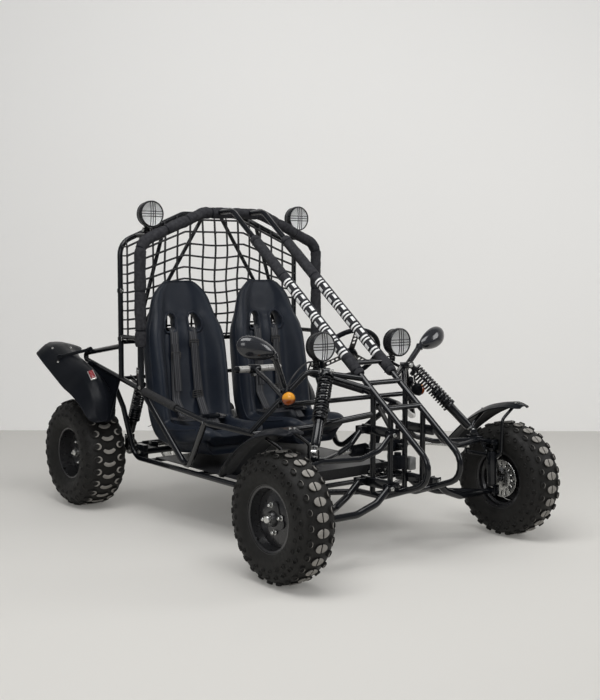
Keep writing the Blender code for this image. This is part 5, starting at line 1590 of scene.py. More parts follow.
def mirror(name, s):
    foot = at(s * 0.352, 0.382, 0.719)
    head = at(s * 0.522, 0.373, 0.907)
    turn = Matrix.Rotation(math.radians(9.5), 4, "Z") @ Matrix.Rotation(math.radians(-16), 4, "Y")
    turn = Matrix.Diagonal((s, 1, 1, 1)) @ turn
    bpy.ops.mesh.primitive_uv_sphere_add(segments=48, ring_count=24, radius=1)
    shell = bpy.context.object
    for vertex in shell.data.vertices:
        angle, share = math.atan2(vertex.co.z, vertex.co.x), min(1, math.hypot(vertex.co.x, vertex.co.z))
        deep = 0.042 * vertex.co.y if vertex.co.y < 0 else 0.008 * min(1, vertex.co.y * 3)
        vertex.co = egg(angle, share) + Vector((0, deep, 0))
    place_shape(shell, Matrix.Translation(head) @ turn)
    post = foot + Vector((0, 0.012, 0))
    stalk = tubes(0.014, [post, post + Vector((s * 0.03, -0.006, 0.07)),
        head + Vector((s * -0.085, -0.01, -0.032)), head + Vector((s * -0.055, -0.01, -0.012))], bend=0.03)
    knuckle = rod(foot + Vector((0, 0.0006, 0)), foot + Vector((0, 0.026, 0)), 0.0165)
    collar = rod(head + Vector((s * -0.091, -0.01, -0.045)), head + Vector((s * -0.082, -0.01, -0.024)),
        0.018)
    fit(join(f"{name}_shell", [smooth(shell, 50), stalk, knuckle, collar]), gloss, f"mirror_arm_{name[7:]}",
        name)
    pane = [egg(FULL_TURN * step / 40, 0.92) for step in range(40)]
    bpy.ops.mesh.primitive_circle_add(vertices=40, fill_type="NGON")
    glass = bpy.context.object
    for vertex, place in zip(glass.data.vertices, pane):
        vertex.co = place + Vector((0, 0.0082, 0))
    extrude_all((0, 0.0012, 0))
    close_mesh()
    place_shape(glass, Matrix.Translation(head) @ turn)
    glass.name = f"{name}_glass"
    fit(smooth(glass, 30), chrome, f"mirror_arm_{name[7:]}")


for name, s in SIDES:
    mirror(f"mirror_{name}", s)
print("mirrors ready")

# %% [markdown]
# ## Mudguards
# Each mudguard is a thin moulded blade with a rolled edge. A flat grid is bent over a smooth curve
# through the CAD's own rows, which give the line of the blade, how it leans, how far its edge drops
# and how wide it is. Its ends are rounded, Solidify gives the wall and a fine tube rolls the rim.

# %% One mudguard
REAR_GUARD = ((1.5, 0.48, 80, 0.015, 0.072, 0.072), (1.53, 0.59, 68, 0.07, 0.086, 0.088),
    (1.6, 0.68, 52, 0.11, 0.092, 0.092), (1.7, 0.733, 34, 0.115, 0.092, 0.092),
    (1.83, 0.775, 22, 0.095, 0.092, 0.092), (1.95, 0.813, 16, 0.08, 0.092, 0.094),
    (2.03, 0.836, 8, 0.066, 0.092, 0.15), (2.11, 0.842, 0, 0.045, 0.084, 0.14))
FRONT_GUARD = ((-0.09, 0.619, 16, 0.01, 0.045, 0.045), (-0.03, 0.629, 4, 0.018, 0.07, 0.07),
    (0.07, 0.612, -15, 0.024, 0.082, 0.082), (0.16, 0.572, -29, 0.025, 0.083, 0.083),
    (0.25, 0.512, -41, 0.024, 0.082, 0.082), (0.33, 0.438, -52, 0.018, 0.074, 0.074),
    (0.372, 0.385, -58, 0.01, 0.06, 0.06))


def guard_point(s, middle, outline, crown, place, share, rib=0.0):
    """A point of a mudguard by its place along the rows and its share of the half width."""
    last = len(outline) - 1
    y, z, lean, drop, outer, inner = on_curve(outline, min(max(place, 0), last))
    half = outer if share > 0 else inner
    end = min(place, last - place) / 0.6
    if end < 1:
        half *= 0.52 + 0.48 * math.sqrt(max(0, 1 - (1 - end) ** 2))
    up = Vector((0, -math.sin(math.radians(lean)), math.cos(math.radians(lean))))
    lift = rib * math.exp(-((abs(share) - 0.42) / 0.07) ** 2) - drop * crown(share)
    return at(s * (middle + share * half), y, z) + up * lift


def mudguard(name, s, middle, outline, crown, body, node, extras):
    last = len(outline) - 1
    bpy.ops.mesh.primitive_grid_add(x_subdivisions=24, y_subdivisions=56, size=1)
    blade = bpy.context.object
    for vertex in blade.data.vertices:
        share, place = vertex.co.x * 2, (vertex.co.y + 0.5) * last
        vertex.co = guard_point(s, middle, outline, crown, place, share, 0.0022)
    if s < 0:
        blade.data.flip_normals()
    thicken(blade, 0.0036, -1)
    smooth(settle(blade), 40)
    fine = [last * step / 40 for step in range(41)]
    across = [-1 + step / 6 for step in range(1, 12)]
    rim = [guard_point(s, middle, outline, crown, place, 1) for place in fine]
    rim += [guard_point(s, middle, outline, crown, last, -share) for share in across]
    rim += [guard_point(s, middle, outline, crown, place, -1) for place in reversed(fine)]
    rim += [guard_point(s, middle, outline, crown, 0, share) for share in across]
    lip = tubes(0.0034, [*rim, rim[0]], bend=0.0001, sides=2)
    lip.data.transform(Matrix.Translation((0, 0, -0.003)))
    fit(join(f"{node}_blade", [blade, lip, *extras]), moulded, body, node)


def rear_crown(share):
    return ((share + 0.2) / 1.2) ** 2


def front_crown(share):
    return abs(share) ** 2.2


for name, s in SIDES:
    foot = slab_between(at(min(s * 0.5645, s * 0.582), 1.785, 0.724),
        at(max(s * 0.5645, s * 0.582), 1.815, 0.756), 0.002)
    mudguard("rear", s, 0.658, REAR_GUARD, rear_crown, "chassis", f"rear_fender_{name}", [foot])
    mudguard("front", s, FRONT_TRACK_HALF, FRONT_GUARD, front_crown, f"steer_knuckle_{name}",
        f"front_fender_{name}", [])
print("mudguards ready")

# %% Their straps, bolts and marker lamps
red_lens = finish("red_lens", "lamp_black", (0.36, 0.012, 0.01), 0.12)
blotchy(red_lens, "Base Color", 90, 2, (0.3, (0.2, 0.004, 0.008)), (0.8, (0.31, 0.008, 0.014)))
set_input(red_lens, "Coat Weight", 0.5)
amber_lens = finish("amber_lens", "lamp_black", (0.72, 0.21, 0.015), 0.14)
# Painted light and shade: the lens is painted dark amber below a height of 0.70 m and bright amber above
# 0.708 m, a shaded lower part and a lit top.
lens_height_for_painted_light = add_node(amber_lens, "ShaderNodeSeparateXYZ")
wire(amber_lens, object_place(amber_lens), lens_height_for_painted_light.inputs["Vector"])
set_input(amber_lens, "Base Color", ramp(amber_lens, lens_height_for_painted_light.outputs["Z"], (0.7, (0.3, 0.06, 0.004)),
    (0.708, (0.84, 0.36, 0.022))))
set_input(amber_lens, "Coat Weight", 0.5)


def guard_fittings(name, s):
    """Bolts and bars that hold the two mudguards of one side, and the rear marker lamp."""
    strap = []
    for place in (4.55, 5.25):
        line = [guard_point(s, 0.658, REAR_GUARD, rear_crown, place, share) for share in (-0.96, -0.6, -0.2,
            0.3, 0.7)]
        strap.append([point - Vector((0, 0, 0.008)) for point in line])
    holder = [at(s * 0.556, 1.8, 0.752), at(s * 0.585, 1.812, 0.742), at(s * 0.64, 1.84, 0.752)]
    bars = tubes(0.005, *strap, holder, bend=0.02, sides=3)
    bars.name = f"rear_guard_straps_{name}"
    fit(bars, frame_paint, "chassis")
    bolts = []
    for place, share in ((4.55, -0.55), (4.35, 0.62), (5.25, -0.55), (5.6, 0.35)):
        point = guard_point(s, 0.658, REAR_GUARD, rear_crown, place, share)
        bolts.append(bolt(point, (0, -0.25, 1), 0.012))
    fit(join(f"rear_guard_bolts_{name}", bolts), zinc, "chassis")
    bolts = []
    for place, share in ((0.62, -0.33), (2.8, -0.33), (0.62, 0.05)):
        point = guard_point(s, FRONT_TRACK_HALF, FRONT_GUARD, front_crown, place, share)
        bolts.append(bolt(point, (0, 0.1, 1), 0.012))
    fit(join(f"front_guard_bolts_{name}", bolts), zinc, f"steer_knuckle_{name}")
    middle = guard_point(s, 0.658, REAR_GUARD, rear_crown, 2.28, -0.05)
    down = (guard_point(s, 0.658, REAR_GUARD, rear_crown, 2.05, -0.05) - middle).normalized()
    wide = (guard_point(s, 0.658, REAR_GUARD, rear_crown, 2.28, -0.05 - 0.2 * s) - middle).normalized()
    out = wide.cross(down).normalized()
    turn = Matrix((wide, out.cross(wide), out)).transposed()
    lens = [slab(middle + out * 0.0095, (0.025, 0.056, 0.01), turn, 0.003)]
    lens += [slab(middle + out * 0.0148 + turn @ Vector((0, step * 0.0105, 0)), (0.021, 0.006, 0.0022),
        turn, 0.0008) for step in (-2, -1, 0, 1, 2)]
    fit(join(f"marker_lens_{name}", lens), red_lens, "chassis")
    case = slab(middle + out * 0.0035, (0.032, 0.065, 0.011), turn, 0.003)
    fit(join(f"marker_case_{name}", [case]), silver, "chassis")
    start, end = at(s * 0.704, 1.893, 0.778), at(s * 0.566, 1.822, 0.8145)
    way = (end - start).normalized()
    face = Vector((0, 0, 1)).cross(way).normalized()
    flat = Matrix((way, face, way.cross(face))).transposed()
    strap = slab(start.lerp(end, 0.5), ((end - start).length, 0.006, 0.017), flat, 0.002)
    knob = rod(start - face * 0.006, start + face * 0.006, 0.0125)
    grip = rod(end + Vector((0, 0.014, -0.003)), end - Vector((0, 0.014, -0.003)), 0.013)
    fit(join(f"guard_strap_{name}", [strap, knob, grip]), moulded, "chassis")
    wall = []
    for place in (0, 0.5, 1, 1.5, 2, 2.5, 3, 3.5, 4):
        edge = guard_point(s, 0.658, REAR_GUARD, rear_crown, place, -1)
        bar_z = 0.65 + (edge.y + 0.9165 - 1.32) * 0.188 - 0.009
        wall.append((edge, Vector((s * 0.5585, edge.y, max(bar_z, edge.z)))))
    bpy.ops.mesh.primitive_grid_add(x_subdivisions=1, y_subdivisions=len(wall) - 1, size=1)
    skirt = bpy.context.object
    for vertex in skirt.data.vertices:
        low, high = wall[round((vertex.co.y + 0.5) * (len(wall) - 1))]
        vertex.co = low if vertex.co.x * s > 0 else high
    thicken(skirt, 0.003)
    skirt.name = f"guard_wall_{name}"
    fit(smooth(settle(skirt), 30), moulded, "chassis")


both_sides(guard_fittings)
print("mudguard fittings ready")

# %% [markdown]
# ## Turn lamps and grab bar
# A small amber lamp stands out from each front shock tower. In front of the passenger a bright bar
# with a black end runs across. It is held by a black arm with a clamp.

# %% Turn lamps
TURN_LAMPS = {"left": (0.325, 0.262, 0.684), "right": (-0.46, 0.22, 0.705)}
TURN_BACKS = {"left": (-0.98, 0.2, 0), "right": (0.8, 0.6, 0)}


def turn_lamp(name, s):
    middle, back = at(*TURN_LAMPS[name]), Vector(TURN_BACKS[name])
    lens = spun([(-0.03, 0), (-0.0295, 0.012), (-0.026, 0.021), (-0.019, 0.0262), (-0.008, 0.0275),
        (-0.008, 0)], middle, back, 36, False)
    rings = [spun([(along, edge - 0.003), (along, edge), (along + 0.0016, edge),
        (along + 0.0016, edge - 0.003)], middle, back, 36) for along, edge in ((-0.0262, 0.0224), (-0.0205,
        0.0266))]
    fit(join(f"turn_lens_{name}", [lens, *rings]), amber_lens, "chassis")
    case = spun([(-0.0095, 0.0285), (-0.0095, 0.0305), (-0.005, 0.0305), (0.012, 0.025), (0.024, 0.015),
        (0.028, 0.008), (0.028, 0), (-0.008, 0)], middle, back, 36, False)
    elbow = middle.lerp(at(s * 0.372, 0.362, 0.704), 0.5) + Vector((0, 0.012, 0))
    stem = tubes(0.0072, [middle + back * 0.02, elbow, at(s * 0.372, 0.362, 0.704)], bend=0.03)
    clamp = rod(at(s * 0.36, 0.35, 0.724), at(s * 0.376, 0.362, 0.7), 0.0175)
    fit(join(f"turn_case_{name}", [case, stem, clamp]), moulded, "chassis")


both_sides(turn_lamp)

# %% Grab bar
grip_line = at(0, 0.7, 0.784)
bar = rod(grip_line + Vector((-0.396, 0, 0)), grip_line + Vector((-0.15, 0, 0)), 0.0158, 32)
fit(bar, silver, "chassis", "grab_bar")
bar.name = "grab_bar_tube"
cap = spun([(-0.412, 0), (-0.412, 0.009), (-0.409, 0.0145), (-0.396, 0.0166), (-0.39, 0.0166),
    (-0.39, 0.0155)], grip_line, (1, 0, 0), 32, False)
plug = spun([(-0.153, 0.0155), (-0.153, 0.0164), (-0.149, 0.016), (-0.147, 0.01), (-0.147, 0)], grip_line,
    (1, 0, 0), 32, False)
clamp = spun([(-0.332, 0.0159), (-0.332, 0.02), (-0.328, 0.0215), (-0.276, 0.0215), (-0.272, 0.02),
    (-0.272, 0.0159)], grip_line, (1, 0, 0), 32)
arm = tubes(0.011, [at(-0.301, 0.7, 0.784), at(-0.33, 0.56, 0.745), at(-0.386, 0.352, 0.684)], bend=0.05)
foot_clamp = rod(at(-0.372, 0.345, 0.7), at(-0.394, 0.362, 0.671), 0.0175)
ear = slab(at(-0.301, 0.7, 0.76), (0.022, 0.016, 0.024), None, 0.003)
fit(join("grab_bar_arm", [cap, plug, clamp, arm, foot_clamp, ear]), frame_paint, "chassis")
fit(join("grab_bar_bolts", [bolt(at(-0.301, 0.692, 0.757), (0, -1, 0), 0.011),
    bolt(at(-0.383, 0.33, 0.686), (0, -1, 0), 0.012)]), zinc, "chassis")
print("turn lamps and grab bar ready")

# %% [markdown]
# ## Steering
# The wheel has a thick grip with finger bumps behind, three drilled spokes and a hub pad. Its
# column runs down to the rack between the nose tubes. Each end of the rack has a rubber bellows,
# where the tie rod leaves for the wheel.

# %% Steering wheel and column
def steering_wheel():
    foot, hub = at(*COLUMN_FOOT), at(*WHEEL_CENTRE)
    line = (hub - foot).normalized()
    tilt = line.to_track_quat("Z", "Y").to_matrix()
    bpy.ops.mesh.primitive_torus_add(major_radius=0.148, minor_radius=0.0123, major_segments=120,
        minor_segments=16)
    ring = bpy.context.object
    for vertex in ring.data.vertices:
        angle = math.atan2(vertex.co.y, vertex.co.x)
        centre = Vector((math.cos(angle), math.sin(angle), 0)) * 0.148
        out = vertex.co - centre
        swell = 1 + 0.05 * math.cos(36 * angle) * (1 if out.z < 0 else 0)
        vertex.co = centre + out * min(swell, 1.02)
    ring.data.transform(Matrix.Translation(hub) @ tilt.to_4x4())
    hub_pad = spun([(-0.022, 0), (-0.022, 0.03), (-0.019, 0.034), (0.002, 0.034), (0.008, 0.03),
        (0.0105, 0.018), (0.0105, 0)], hub, line, 40, False)
    fit(join("steering_wheel_grip", [smooth(ring, 50), hub_pad]), moulded, "wheel_and_column",
        "steering_wheel")
    spokes = []
    for angle in (90, 210, 330):
        out = tilt @ Vector((math.cos(math.radians(angle)), math.sin(math.radians(angle)), 0))
        across = line.cross(out)
        bpy.ops.mesh.primitive_cube_add(size=1)
        spoke = bpy.context.object
        spoke.data.transform(Matrix.Diagonal((0.122, 0.03, 0.0045, 1)))
        holes = [rod(Vector((shift, 0, -0.01)), Vector((shift, 0, 0.01)), radius, 24) for shift,
            radius in ((-0.012, 0.0075), (0.01, 0.0085), (0.034, 0.0095))]
        cutter = drill(spoke, holes)
        bevel(spoke, 0.0008, 1)
        settle(spoke)
        bpy.data.objects.remove(cutter)
        turn = Matrix((out, across, line)).transposed().to_4x4()
        spoke.data.transform(Matrix.Translation(hub + out * 0.082) @ turn)
        spokes.append(smooth(spoke, 30))
    column = rod(foot + line * 0.0355, hub + line * 0.004, 0.011)
    collar = rod(hub - line * 0.06, hub - line * 0.02, 0.019)
    fit(join("steering_spokes", [*spokes, column, collar]), dark_metal, "wheel_and_column")
    bolts = []
    for angle in (60, 120, 180, 240, 300, 360):
        out = tilt @ Vector((math.cos(math.radians(angle)), math.sin(math.radians(angle)), 0))
        bolts.append(bolt(hub + out * 0.026 + line * 0.0085, line, 0.007))
    fit(join("steering_wheel_bolts", bolts), zinc, "wheel_and_column")


steering_wheel()
print("steering wheel ready")

# %% Rack, bellows and tie rods
def rack_and_rods():
    y, z = RACK
    foot, hub = at(*COLUMN_FOOT), at(*WHEEL_CENTRE)
    line = (hub - foot).normalized()
    profile = [(-0.066, 0.0105), (-0.066, 0.02), (-0.064, 0.0215), (-0.054, 0.0215), (-0.052, 0.019),
        (0.052, 0.019), (0.054, 0.0215), (0.064, 0.0215), (0.066, 0.02), (0.066, 0.0105)]
    housing = spun(profile, at(0, y, z), (1, 0, 0), 36)
    boss = rod(foot - line * 0.004, foot + line * 0.034, 0.019)
    fit(join("rack_case", [housing, boss]), cast, "chassis", "rack_housing")
    bar = rod(at(-0.205, y, z), at(0.205, y, z), 0.0095)
    fit(bar, zinc, "rack", "steering_rack")
    bar.name = "rack_bar"
    for name, s in SIDES:
        inner, outer = at(s * 0.222, y, z), at(s * 0.512, 0.112, 0.4175)
        profile = [(0.0, 0.01)]
        for fold in range(11):
            along = 0.006 + fold * 0.0082
            profile += [(along, 0.0205), (along + 0.0041, 0.0285 - 0.0004 * fold)]
        profile += [(0.0965, 0.015), (0.0985, 0.01)]
        bellows = spun(profile, at(s * 0.066, y, z), (s, 0, 0), 32)
        fit(bellows, moulded, "chassis")
        bellows.name = f"rack_bellows_{name}"
        way = (outer - inner).normalized()
        shaft = rod(inner, outer, 0.007)
        nut = rod(outer - way * 0.062, outer - way * 0.048, 0.0105, 6)
        socket = rod(outer - way * 0.046, outer - way * 0.01, 0.0098)
        head = spun([(-0.007, 0), (-0.007, 0.0105), (-0.005, 0.012), (0.006, 0.012), (0.009, 0.0095),
            (0.009, 0)], outer, (0, 0, 1), 28, False)
        ball = spun([(-0.012, 0), (-0.0085, 0.0085), (0, 0.012), (0.0085, 0.0085), (0.012, 0)], inner,
            (0, 0, 1), 20, False)
        fit(join(f"tie_rod_bar_{name}", [shaft, nut, socket, head, ball]), zinc, f"track_rod_{name}",
            f"tie_rod_{name}")


rack_and_rods()
print("steering rack ready")

# %% [markdown]
# ## Pedals and master cylinder
# Two pedals stand on hinges on the front cross tube. Each is a bent lever with a ribbed pad. The
# brake's small cylinder and its pale tank sit ahead of them on the nose.

# %% Pedals
def pedal(name, body, x):
    pivot = at(x, 0.363, 0.303)
    hub = rod(pivot - Vector((0.0225, 0, 0)), pivot + Vector((0.0225, 0, 0)), 0.009)
    lever = tubes(0.006, [pivot, pivot + Vector((0, 0.012, 0.06)), pivot + Vector((0, -0.012, 0.135))])
    turn = Matrix.Rotation(0.3, 3, "X")
    centre = pivot + Vector((0, -0.004, 0.14))
    pieces = [hub, lever, slab(centre, (0.06, 0.006, 0.062), turn, 0.002)]
    for step in range(5):
        rib = turn @ Vector((0, 0.0032, -0.022 + 0.011 * step))
        pieces.append(slab(centre + rib, (0.052, 0.0014, 0.005), turn, 0.0005))
    fit(join(f"{name}_lever", pieces), moulded, body, name)
    ends = [bolt(pivot + Vector((way * 0.03, 0, 0)), (way, 0, 0), 0.01) for way in (1, -1)]
    fit(join(f"{name}_bolts", ends), zinc, "chassis")


pedal("brake_pedal", "pedal_brake", 0.148)
pedal("throttle_pedal", "pedal_throttle", 0.248)
case = slab(at(0.052, 0.1, 0.394), (0.048, 0.052, 0.06), None, 0.005)
neck = rod(at(0.052, 0.1, 0.424), at(0.052, 0.1, 0.437), 0.016)
fit(join("master_cylinder", [case, neck]), moulded, "chassis")
tank = slab(at(0.126, 0.1, 0.381), (0.04, 0.045, 0.058), None, 0.006)
strip = slab(at(0.091, 0.1, 0.385), (0.034, 0.012, 0.014), None, 0.001)
fit(join("brake_reservoir", [tank, strip]), cast, "chassis")
print("pedals ready")

# %% [markdown]
# ## Swing arm, axle and brake
# The engine and the back axle share one arm that swings at the ends of the floor rails. The axle is
# one bar with a sprocket near its middle, a brake disc and a hub for each wheel. The sprocket's
# teeth are cut into one thin plate, so they are drawn as its outline.

# %% Swing arm
SWING_PIVOT = (1.5, 0.3)
ENGINE_SHELVES = (-0.06, 0.19)
CHAIN_X, CHAIN_FRONT = -0.0965, (1.56, 0.395)


def swing_arm():
    pivot_y, pivot_z = SWING_PIVOT
    pieces = [rod(at(-0.4225, pivot_y, pivot_z), at(0.4225, pivot_y, pivot_z), 0.017)]
    pieces.append(rod(at(-0.34, 1.665, 0.312), at(0.34, 1.665, 0.312), 0.013))
    for x in ENGINE_SHELVES:
        pieces.append(slab(at(x, 1.6, 0.312), (0.03, 0.2, 0.012), None, 0.002))
    for s in (1, -1):
        pieces.append(rod(at(s * 0.335, pivot_y, pivot_z), at(s * 0.335, 1.765, 0.283), 0.0145))
        pieces.append(spun([(0.318, 0.0175), (0.318, 0.041), (0.3195, 0.042), (0.3505, 0.042),
            (0.352, 0.041), (0.352, 0.0175)], at(0, WHEELBASE, REAR_RADIUS), (s, 0, 0), 40))
        x = s * REAR_SHOCK_FOOT[0]
        for reach in (-0.0205, 0.0155):
            pieces.append(slab_between(at(x + reach, 1.672, 0.286),
                at(x + reach + 0.005, 1.708, REAR_SHOCK_FOOT[2] + 0.014)))
        pieces.append(rod(at(s * 0.33, 1.69, 0.29), at(s * (REAR_SHOCK_FOOT[0] + 0.019), 1.69, 0.29),
            0.011))
        pieces.append(slab(at(s * 0.335, 1.56, 0.318), (0.006, 0.09, 0.036), tilt(-4)))
    fit(join("swing_arm_frame", pieces), frame_paint, "rear_swing", "swing_arm")
    bolts = []
    for s in (1, -1):
        for angle in (45, 135, 225, 315):
            turn = math.radians(angle)
            middle = at(s * 0.352, WHEELBASE + 0.032 * math.cos(turn), REAR_RADIUS + 0.032 * math.sin(turn))
            bolts.append(bolt(middle, (s, 0, 0), 0.01))
        bolts.append(bolt(at(s * 0.4225, pivot_y, pivot_z), (s, 0, 0), 0.022))
        bolts.append(bolt(at(s * REAR_SHOCK_FOOT[0] + s * 0.0205, 1.69, REAR_SHOCK_FOOT[2]), (s, 0, 0),
            0.015))
    fit(join("swing_arm_bolts", bolts), zinc, "rear_swing")


swing_arm()
print("swing arm ready")


# %% Axle, sprocket and rear brake
def plate_outline(name, outline, thick):
    """A flat plate across x, from its outline as (y, z)."""
    bpy.ops.mesh.primitive_circle_add(vertices=len(outline), fill_type="NGON")
    piece = bpy.context.object
    for vertex, (y, z) in zip(piece.data.vertices, outline):
        vertex.co = Vector((-thick / 2, y, z))
    extrude_all((thick, 0, 0))
    close_mesh()
    piece.name = name
    return smooth(piece, 30)


def rear_axle():
    axle = at(0, WHEELBASE, REAR_RADIUS)
    half = REAR_TRACK_HALF
    pieces = [rod(axle + Vector((-half - 0.03, 0, 0)), axle + Vector((-half + 0.03, 0, 0)), 0.0118)]
    pieces.append(rod(axle + Vector((half - 0.03, 0, 0)), axle + Vector((half + 0.03, 0, 0)), 0.0118))
    pieces.append(rod(axle + Vector((-half + 0.03, 0, 0)), axle + Vector((half - 0.03, 0, 0)), 0.0153, 28))
    for s in (1, -1):
        pieces.append(spun([(half - 0.075, 0.015), (half - 0.075, 0.024), (half - 0.072, 0.026),
            (half - 0.03, 0.026), (half - 0.022, 0.03), (half - 0.022, 0.04), (half - 0.012, 0.04),
            (half - 0.012, 0.0118)], axle, (s, 0, 0), 36))
    for centre in (-0.0965, 0.1555):
        pieces.append(spun([(centre - 0.016, 0.015), (centre - 0.016, 0.026), (centre - 0.002, 0.03),
            (centre - 0.002, 0.046), (centre + 0.002, 0.046), (centre + 0.002, 0.03),
            (centre + 0.016, 0.026), (centre + 0.016, 0.015)], axle, (1, 0, 0), 32))
    fit(join("rear_axle_bar", pieces), dark_metal, "rear_wheels", "rear_axle")
    teeth, outline = 34, []
    for index in range(teeth * 4):
        radius = (0.0925, 0.0925, 0.0955, 0.0955)[index % 4]
        turn = FULL_TURN * (index + 0.5) / (teeth * 4)
        outline.append((axle.y + radius * math.cos(turn), axle.z + radius * math.sin(turn)))
    sprocket = plate_outline("sprocket", outline, 0.0056)
    windows = []
    for index in range(6):
        turn = FULL_TURN * index / 6
        spot = axle + Vector((0, 0.064 * math.cos(turn), 0.064 * math.sin(turn)))
        windows.append(rod(spot - Vector((0.03, 0, 0)), spot + Vector((0.03, 0, 0)), 0.0155, 20))
    cutter = drill(sprocket, windows)
    settle(sprocket)
    bpy.data.objects.remove(cutter)
    sprocket.data.transform(Matrix.Translation((CHAIN_X, 0, 0)))
    fit(smooth(sprocket, 30), zinc, "rear_wheels")
    brake_disc("rear_brake_disc", 0.1555, axle, 0.085, "rear_wheels")
    caliper = slab(at(0.1555, 1.728, 0.33), (0.042, 0.052, 0.06), tilt(52), 0.006)
    bracket = slab(at(0.18, 1.7, 0.318), (0.006, 0.09, 0.03), tilt(-14), 0.002)
    fit(join("rear_caliper", [caliper, bracket]), dark_metal, "rear_swing")


rear_axle()
print("rear axle ready")

# %% [markdown]
# ## Drive chain
# A roller chain runs round the two sprockets. One link is modelled as two waisted plates with two
# rollers, and is copied along the line of the chain. Few faces a link keep the whole chain light.

# %% Drive chain
def drive_chain():
    back, front = at(CHAIN_X, WHEELBASE, REAR_RADIUS), at(CHAIN_X, *CHAIN_FRONT)
    way = (front - back).normalized()
    up = Vector((1, 0, 0)).cross(way)
    line = []
    for centre, radius, ahead in ((back, 0.1038, -way), (front, 0.0352, way)):
        side = Vector((1, 0, 0)).cross(ahead)
        for step in range(25):
            angle = math.pi * (step / 24 - 0.5)
            line.append(centre + ahead * radius * math.cos(angle) + side * radius * math.sin(angle))
    line.append(line[0])
    lengths = [0.0]
    for start, end in zip(line, line[1:]):
        lengths.append(lengths[-1] + (end - start).length)
    count = 2 * round(lengths[-1] / 0.0127 / 2)
    spots, row = [], 0
    for index in range(count):
        reach = lengths[-1] * index / count
        while lengths[row + 1] < reach:
            row += 1
        share = (reach - lengths[row]) / (lengths[row + 1] - lengths[row])
        spots.append(line[row].lerp(line[row + 1], share))
    pitch = lengths[-1] / count
    plates = {}
    for wide in (0.0042, 0.0054):
        half = []
        for side in (1, -1):
            bpy.ops.mesh.primitive_circle_add(vertices=12, fill_type="NGON", radius=1)
            plate = bpy.context.object
            for vertex in plate.data.vertices:
                angle = math.atan2(vertex.co.y, vertex.co.x)
                waist = 0.0042 * (1 - 0.25 * (1 - abs(math.cos(angle))))
                shift = pitch / 2 * max(-1, min(1, 2.2 * math.cos(angle)))
                vertex.co = Vector((side * wide, shift + 0.004 * math.cos(angle), waist * math.sin(angle)))
            extrude_all((side * 0.0009, 0, 0))
            close_mesh()
            half.append(plate)
        roller = rod(Vector((-0.004, -pitch / 2, 0)), Vector((0.004, -pitch / 2, 0)), 0.0036, 8)
        plates[wide] = join("link", [*half, roller])
    links = []
    for index, spot in enumerate(spots):
        after = spots[(index + 1) % count]
        ahead = (after - spot).normalized()
        turn = Matrix((Vector((1, 0, 0)), ahead, Vector((1, 0, 0)).cross(ahead))).transposed().to_4x4()
        link = plates[0.0042 if index % 2 else 0.0054]
        links.append(copy_of(link, Matrix.Translation((spot + after) / 2) @ turn))
    for link in plates.values():
        bpy.data.objects.remove(link)
    fit(smooth(join("roller_chain", links), 30), dark_metal, "rear_swing", "drive_chain")
    print(count, "links of", round(pitch * 1000, 2), "mm")


drive_chain()
